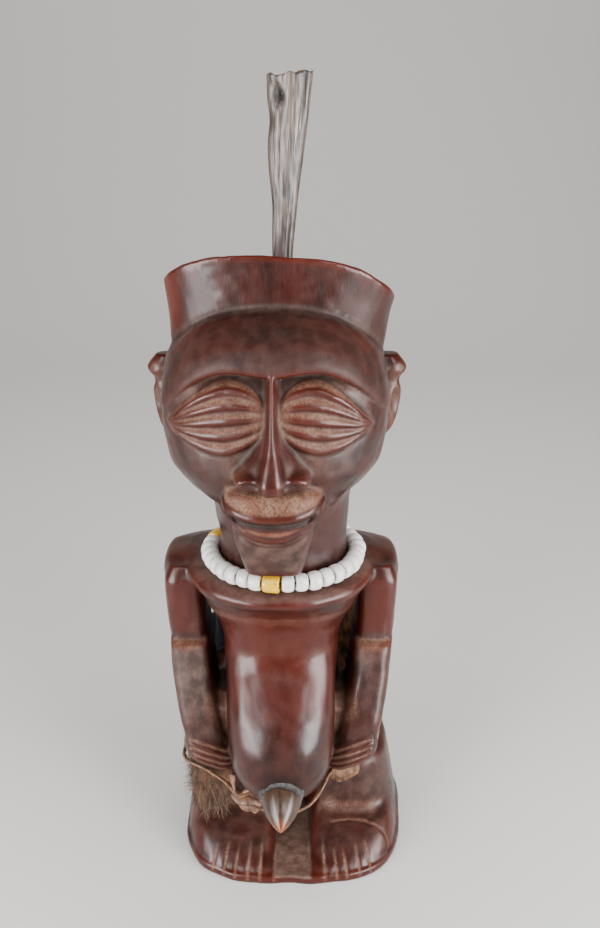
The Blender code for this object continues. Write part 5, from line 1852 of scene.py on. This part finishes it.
KNOT_CENTRE = np.array((-17.5 + TRUNK_SHIFT, -55.0, 53.5))
KNOT_AIM = np.array((0.81, -0.26, -0.52)) / math.hypot(0.81, 0.26, 0.52)
KNOT_LENGTH = 15.0
KNOT_STRANDS = 3
STRAND_RADIUS = 2.5
# Cut ends: three places of each along, above and beside the knot, and its radius.
KNOT_ENDS = (
    ((-7.5, 0.5, 1.5), (-11.0, 3.5, 3.0), (-13.5, 7.5, 3.5), 1.9),
    ((-4.0, 2.5, 3.0), (-2.0, 6.5, 4.2), (2.5, 8.0, 3.2), 1.7),
)


def rawhide_knot():
    """Strips of rawhide twisted together, with two cut ends standing out of them."""
    side = np.cross(KNOT_AIM, (0.0, 0.0, 1.0))
    side /= np.linalg.norm(side)
    up = np.cross(side, KNOT_AIM)
    points, faces = [], []
    total = 0

    def lay(course, radius, flat, twist):
        nonlocal total
        radii = tapered(len(course), radius, 0.16, 0.35)
        more, more_faces = skinned(rings_along(course, radii, 14, flat, twist))
        faces.extend(tuple(k + total for k in face) for face in more_faces)
        points.append(more)
        total += len(more)

    for strand in range(KNOT_STRANDS):
        course = []
        for share in np.linspace(-0.5, 0.5, 40):
            wind = 4.6 * share + 2.0 * math.pi * strand / KNOT_STRANDS + 0.7
            swell = 2.0 + 0.7 * math.cos(3.0 * share * math.pi)
            course.append(
                KNOT_CENTRE + KNOT_AIM * KNOT_LENGTH * share
                + swell * (side * math.cos(wind) + up * math.sin(wind))
            )
        lay(np.array(course), STRAND_RADIUS, 0.62, 2.0 + strand)
    for *places, radius in KNOT_ENDS:
        spots = [KNOT_CENTRE + KNOT_AIM * p[0] + up * p[1] + side * p[2] * -0.3 for p in places]
        lay(smooth_course(spots, 9), radius, 0.45, 1.2)
    return build("rawhide_knot", np.concatenate(points), faces, rawhide_material())


# Thong route in front of the hips, where it leaves the hide and lies on the belly.
THONG_FRONT = (
    (50.0, -15.0, 62.8),
    (46.5, -22.5, 60.5),
    (41.0, -27.6, 57.5),
    (33.0, -29.8, 56.0),
    (28.0, -37.0, 62.0),
    (24.0, -48.0, 64.0),
    (19.5, -56.5, 60.5),
    (14.0, -61.5, 56.0),
    (6.0, -62.0, 52.0),
    (-3.0, -59.5, 50.5),
)
THONG_RADIUS = 1.3


def thong_course():
    """Course of the thong: from its knot round the outside of the hide and back to the knot."""
    reach = KNOT_LENGTH / 2.0 - 1.0
    centre = KNOT_CENTRE - (TRUNK_SHIFT, 0.0, 0.0)
    route = np.array(HIDE_ROUTE)
    outside = HIDE_CAD_THICKNESS / 2.0 + THONG_RADIUS + 0.7
    stations = [tuple(centre - KNOT_AIM * reach), (-28.5, -45.0, 57.0)]
    for (x, y, low, high), out in list(zip(route, route_outward(route)))[1:]:
        level = lerp(low, high, 0.55) if y > -10.0 else min(high - 5.0, 55.0)
        stations.append((x + out[0] * outside, y + out[1] * outside, level))
    stations += [*THONG_FRONT, tuple(centre + KNOT_AIM * reach)]
    return smooth_course(stations, 10) + (TRUNK_SHIFT, 0.0, 0.0)


def hip_thong():
    """Strip of rawhide of uneven width that ties the hide on."""
    course = thong_course()
    travelled = np.cumsum(np.linalg.norm(np.gradient(course, axis=0), axis=1))
    radii = THONG_RADIUS * (0.95 + 0.16 * np.sin(travelled * 0.31) + 0.1 * np.sin(travelled * 0.83))
    points, faces = skinned(rings_along(course, radii, 12, 0.66, 5.0))
    return build("rawhide_thong", points, faces, rawhide_material())


CLOTH_LOW = 87.0
CLOTH_HIGH = 117.0
CLOTH_THICKNESS = 0.9
# How far inside the hide's own course it lies.
CLOTH_INSET = 4.4


def cloth_course():
    """Course of the cloth inside the hide, on the figure's right and behind."""
    route = [(x, y, CLOTH_LOW, CLOTH_HIGH - 0.25 * abs(x + 30.0))
             for x, y, _, _ in HIDE_ROUTE if y > 15.0 and x <= 0.0]
    return smooth_course(route, 14)


def tucked_cloth():
    """Offcut of cloth laid in soft folds between the hide and the back, and its cut size."""
    course = cloth_course()
    outward = route_outward(course)
    travelled = np.cumsum(np.linalg.norm(np.gradient(course[:, :2], axis=0), axis=1))
    ups = np.linspace(0.0, 1.0, 26)
    sides = []
    for offset in (-CLOTH_THICKNESS / 2.0, CLOTH_THICKNESS / 2.0):
        rows = []
        for (x, y, low, high), out, way in zip(course, outward, travelled):
            fold = 1.0 * np.sin(way * 0.52 + 1.2 * ups) * ramp(ups, 0.05, 0.8)
            away = offset - CLOTH_INSET + fold
            hem = 0.7 * math.sin(way * 0.4)
            rows.append(np.stack([
                x + TRUNK_SHIFT + out[0] * away, y + out[1] * away,
                lerp(low, high, ups) + hem * ups,
            ], 1))
        sides.append(np.array(rows))
    points, faces = skinned(np.concatenate([sides[0], sides[1][:, ::-1]], 1))
    cloth = build("tucked_cloth", points, faces, cloth_material())
    lengths = np.linalg.norm(np.diff(sides[0], axis=0), axis=2).sum(0)
    across = np.linalg.norm(np.diff(sides[0], axis=1), axis=2).sum(1)
    flat = (float(lengths.max()) * MM, float(across.max()) * MM)
    area = float(lengths.mean() * across.mean()) * MM * MM
    weave = cloth.data.uv_layers.new(name="weave")
    count = 2 * len(ups)
    places = np.zeros((len(points), 2))
    for i, way in enumerate(travelled):
        for j in range(count):
            up = ups[j] if j < len(ups) else ups[count - 1 - j]
            places[i * count + j] = way * MM, up * across[i] * MM
    places[-2:] = places[0], places[-3]
    corner = np.empty(len(cloth.data.loops), np.int32)
    cloth.data.loops.foreach_get("vertex_index", corner)
    weave.data.foreach_set("uv", places[corner].astype(np.float32).ravel())
    return cloth, flat, area


# Paper, in metres: half width, front, where it starts to rise, radius of the bend, top.
PAPER = (3.0, -1.6, 0.9, 0.8, 2.6)
AIM = (-0.004, -0.02, 0.2)
BACKDROP = (0.0, 1.5, 0.5)
# Lamps: place, what they face, width, height, share of the set power. The sheen boxes light the gloss
# alone; the fill, the rim light and the paper light are left out of it.
LAMPS = (
    ("softbox_left", (-0.52, -0.42, 0.27), AIM, 0.56, 0.5, 1.0),
    ("softbox_right", (0.54, -0.38, 0.28), AIM, 0.64, 0.52, 1.3),
    ("sheen_left", (-0.5, -0.44, 0.24), AIM, 0.4, 0.34, 1.0),
    ("sheen_right", (0.52, -0.4, 0.25), AIM, 0.46, 0.36, 1.3),
    ("softbox_over_left", (-0.46, -0.8, 0.98), AIM, 0.3, 0.3, 0.5),
    ("softbox_over_right", (0.5, -0.76, 0.98), AIM, 0.3, 0.3, 0.5),
    ("fill_above", (0.0, -0.7, 1.5), AIM, 0.9, 0.6, 0.4),
    ("rim_back", (0.5, 0.9, 1.1), AIM, 0.5, 0.5, 0.25),
    ("paper_light", (0.0, 0.25, 1.9), BACKDROP, 2.0, 0.5, 3.0),
)


def paper_sweep():
    """Pale paper that lies under the figure and rises in a bend behind it."""
    half, front, bend, radius, top = PAPER
    profile = [(front, 0.0), (bend, 0.0)]
    for k in range(1, 13):
        turn = math.pi / 2.0 * k / 12.0
        profile.append((bend + radius * math.sin(turn), radius - radius * math.cos(turn)))
    profile.append((bend + radius, top))
    low = CAD_BOX[0][2]
    points = [(side * half, y, z + low) for y, z in profile for side in (-1.0, 1.0)]
    faces = [(2 * k, 2 * k + 1, 2 * k + 3, 2 * k + 2) for k in range(len(profile) - 1)]
    mesh = bpy.data.meshes.new("paper_sweep")
    mesh.from_pydata(points, [], faces)
    mesh.shade_smooth()
    mesh.materials.append(floor_material())
    return stand("paper_sweep", mesh)


def studio(settings):
    """Paper, soft lights, a dim pale room and the camera of the photograph."""
    paper = paper_sweep()
    for name, place, target, width, height, share in LAMPS:
        light = bpy.data.lights.new(name, "AREA")
        light.shape = "RECTANGLE"
        light.size = width
        light.size_y = height
        light.energy = settings.power * share
        lamp = stand(name, light)
        lamp.location = place
        lamp.visible_glossy = name.startswith(("softbox", "sheen"))
        lamp.visible_diffuse = not name.startswith("sheen")
        lamp.rotation_euler = (Vector(target) - Vector(place)).to_track_quat("-Z", "Y").to_euler()

    world = bpy.data.worlds.new("Pale room")
    world.use_nodes = True
    sky = world.node_tree.nodes["Background"]
    sky.inputs["Color"].default_value = linear("DADCE0")
    sky.inputs["Strength"].default_value = settings.room
    bpy.context.scene.world = world

    lens = bpy.data.cameras.new("photo_camera")
    lens.lens = settings.lens
    lens.clip_start = 0.01
    camera = stand("photo_camera", lens)
    camera.location = settings.stand
    camera.rotation_euler = (math.pi / 2.0 - settings.look_down, 0.0, 0.0)
    bpy.context.scene.camera = camera


# Settings

class WoodSettings(bpy.types.PropertyGroup):
    pitch: FloatProperty(
        name="Grid", description="Spacing in millimetres of the volume that the wood is carved in",
        default=0.75, min=0.5, max=3.0,
    )
    triangles: IntProperty(
        name="Triangles", description="Most triangles that the carved wood may have",
        default=192000, min=20000,
    )
    tool_marks: FloatProperty(
        name="Tool marks", description="Share of the shallow unevenness left by the knife",
        default=1.0, min=0.0, max=3.0,
    )


class BeadSettings(bpy.types.PropertyGroup):
    tilt: FloatProperty(
        name="Tilt", description="Most that a bead leans on its thread",
        default=0.06, min=0.0, max=0.3, unit="ROTATION",
    )
    seed: IntProperty(name="Seed", description="Start of the chance in the row of beads", default=7)


class FurSettings(bpy.types.PropertyGroup):
    density: FloatProperty(
        name="Density", description="Hairs on a square metre of hide", default=1100000.0, min=0.0,
    )
    length: FloatProperty(
        name="Length", description="Length of the shorter hair", default=0.005, unit="LENGTH",
    )
    ruffle: FloatProperty(
        name="Ruffle", description="How far hairs stray from the flow", default=0.5, min=0.0,
    )
    seed: IntProperty(name="Seed", description="Start of the chance in the fur", default=19)


class StudioSettings(bpy.types.PropertyGroup):
    power: FloatProperty(
        name="Softboxes", description="Power of the left softbox", default=7.0, unit="POWER",
    )
    room: FloatProperty(name="Room", description="Strength of the pale room light", default=0.1)
    lens: FloatProperty(
        name="Lens", description="Focal length in millimetres", default=41.7, min=1.0,
    )
    stand: FloatVectorProperty(
        name="Stand", description="Place of the camera", default=(0.004, -0.5, 0.41),
        subtype="TRANSLATION", unit="LENGTH",
    )
    look_down: FloatProperty(
        name="Look down", description="Angle of the camera below level",
        default=math.radians(21.3), unit="ROTATION",
    )


# Operators

def settle(piece, slot, *nodes):
    """Let a piece ride with the figure and stand for its solids; the slot is not used."""
    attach(piece, "root")
    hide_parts(*nodes)


class FIGURE_OT_wood(bpy.types.Operator):
    """Carve the figure out of one billet"""
    bl_idname = "figure.wood"
    bl_label = "Carve the wood"

    def execute(self, context):
        settle(carved_wood(context.scene.figure_wood), "wood", "figure")
        return {"FINISHED"}


class FIGURE_OT_head_horn(bpy.types.Operator):
    """Stand the weathered horn in the crown"""
    bl_idname = "figure.head_horn"
    bl_label = "Add the head horn"

    def execute(self, context):
        settle(head_horn(), "horn", "head_horn")
        return {"FINISHED"}


class FIGURE_OT_navel(bpy.types.Operator):
    """Pack the navel and close it with its horn point"""
    bl_idname = "figure.navel"
    bl_label = "Add the navel horn and packing"

    def execute(self, context):
        settle(navel_packing(), "packing", "navel_packing")
        settle(navel_horn(), "polished_horn", "navel_horn_tip")
        return {"FINISHED"}


class FIGURE_OT_beads(bpy.types.Operator):
    """String the glass beads round the neck"""
    bl_idname = "figure.beads"
    bl_label = "String the beads"

    def execute(self, context):
        settle(necklace_thread(), "thread", "necklace_thread")
        for beads, names, slot in strung_beads(context.scene.figure_beads):
            settle(beads, slot, *names)
        return {"FINISHED"}


class FIGURE_OT_hide(bpy.types.Operator):
    """Lay the furred hide round the hips"""
    bl_idname = "figure.hide"
    bl_label = "Add the hide and its fur"

    def execute(self, context):
        skin, course, outward = hide_skin()
        settle(skin, "fur", "hip_hide")
        fur = hide_fur(context.scene.figure_fur, course, outward)
        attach(fur, "root")
        return {"FINISHED"}


class FIGURE_OT_rawhide(bpy.types.Operator):
    """Tie on the thong, its knot and the stiff flap"""
    bl_idname = "figure.rawhide"
    bl_label = "Tie the rawhide"

    def execute(self, context):
        settle(hip_thong(), "rawhide", "hip_thong")
        settle(rawhide_knot(), "rawhide", "hide_knot")
        settle(hide_flap(), "rawhide", "hide_flap")
        return {"FINISHED"}


class FIGURE_OT_cloth(bpy.types.Operator):
    """Tuck the cloth in behind the hide"""
    bl_idname = "figure.cloth"
    bl_label = "Tuck in the cloth"

    def execute(self, context):
        cloth, flat, area = tucked_cloth()
        settle(cloth, "cloth", "back_cloth")
        return {"FINISHED"}


class FIGURE_OT_studio(bpy.types.Operator):
    """Set up the paper, the lights and the camera"""
    bl_idname = "figure.studio"
    bl_label = "Set up the studio"

    def execute(self, context):
        studio(context.scene.figure_studio)
        return {"FINISHED"}


class FIGURE_PT_panel(bpy.types.Panel):
    """Steps that dress the carved figure, in their order"""
    bl_label = "Carved power figure"
    bl_idname = "FIGURE_PT_panel"
    bl_space_type = "VIEW_3D"
    bl_region_type = "UI"
    bl_category = "Figure"

    def draw(self, context):
        for name, _ in SETTINGS:
            box = self.layout.box()
            held = getattr(context.scene, name)
            for key in held.__annotations__:
                box.prop(held, key)
        for step in STEPS:
            self.layout.operator(step.bl_idname)


SETTINGS = (
    ("figure_wood", WoodSettings),
    ("figure_beads", BeadSettings),
    ("figure_fur", FurSettings),
    ("figure_studio", StudioSettings),
)
STEPS = (
    FIGURE_OT_wood, FIGURE_OT_head_horn, FIGURE_OT_navel, FIGURE_OT_beads, FIGURE_OT_hide,
    FIGURE_OT_rawhide, FIGURE_OT_cloth, FIGURE_OT_studio,
)


def register():
    for _, settings in SETTINGS:
        bpy.utils.register_class(settings)
    for step in STEPS:
        bpy.utils.register_class(step)
    bpy.utils.register_class(FIGURE_PT_panel)
    for name, settings in SETTINGS:
        setattr(bpy.types.Scene, name, PointerProperty(type=settings))


def unregister():
    for name, _ in SETTINGS:
        delattr(bpy.types.Scene, name)
    bpy.utils.unregister_class(FIGURE_PT_panel)
    for step in reversed(STEPS):
        bpy.utils.unregister_class(step)
    for _, settings in reversed(SETTINGS):
        bpy.utils.unregister_class(settings)


def main():
    register()
    bpy.ops.figure.wood()
    bpy.ops.figure.head_horn()
    bpy.ops.figure.navel()
    bpy.ops.figure.beads()
    bpy.ops.figure.hide()
    bpy.ops.figure.rawhide()
    bpy.ops.figure.cloth()
    bpy.ops.figure.studio()


if __name__ == "__main__":
    main()
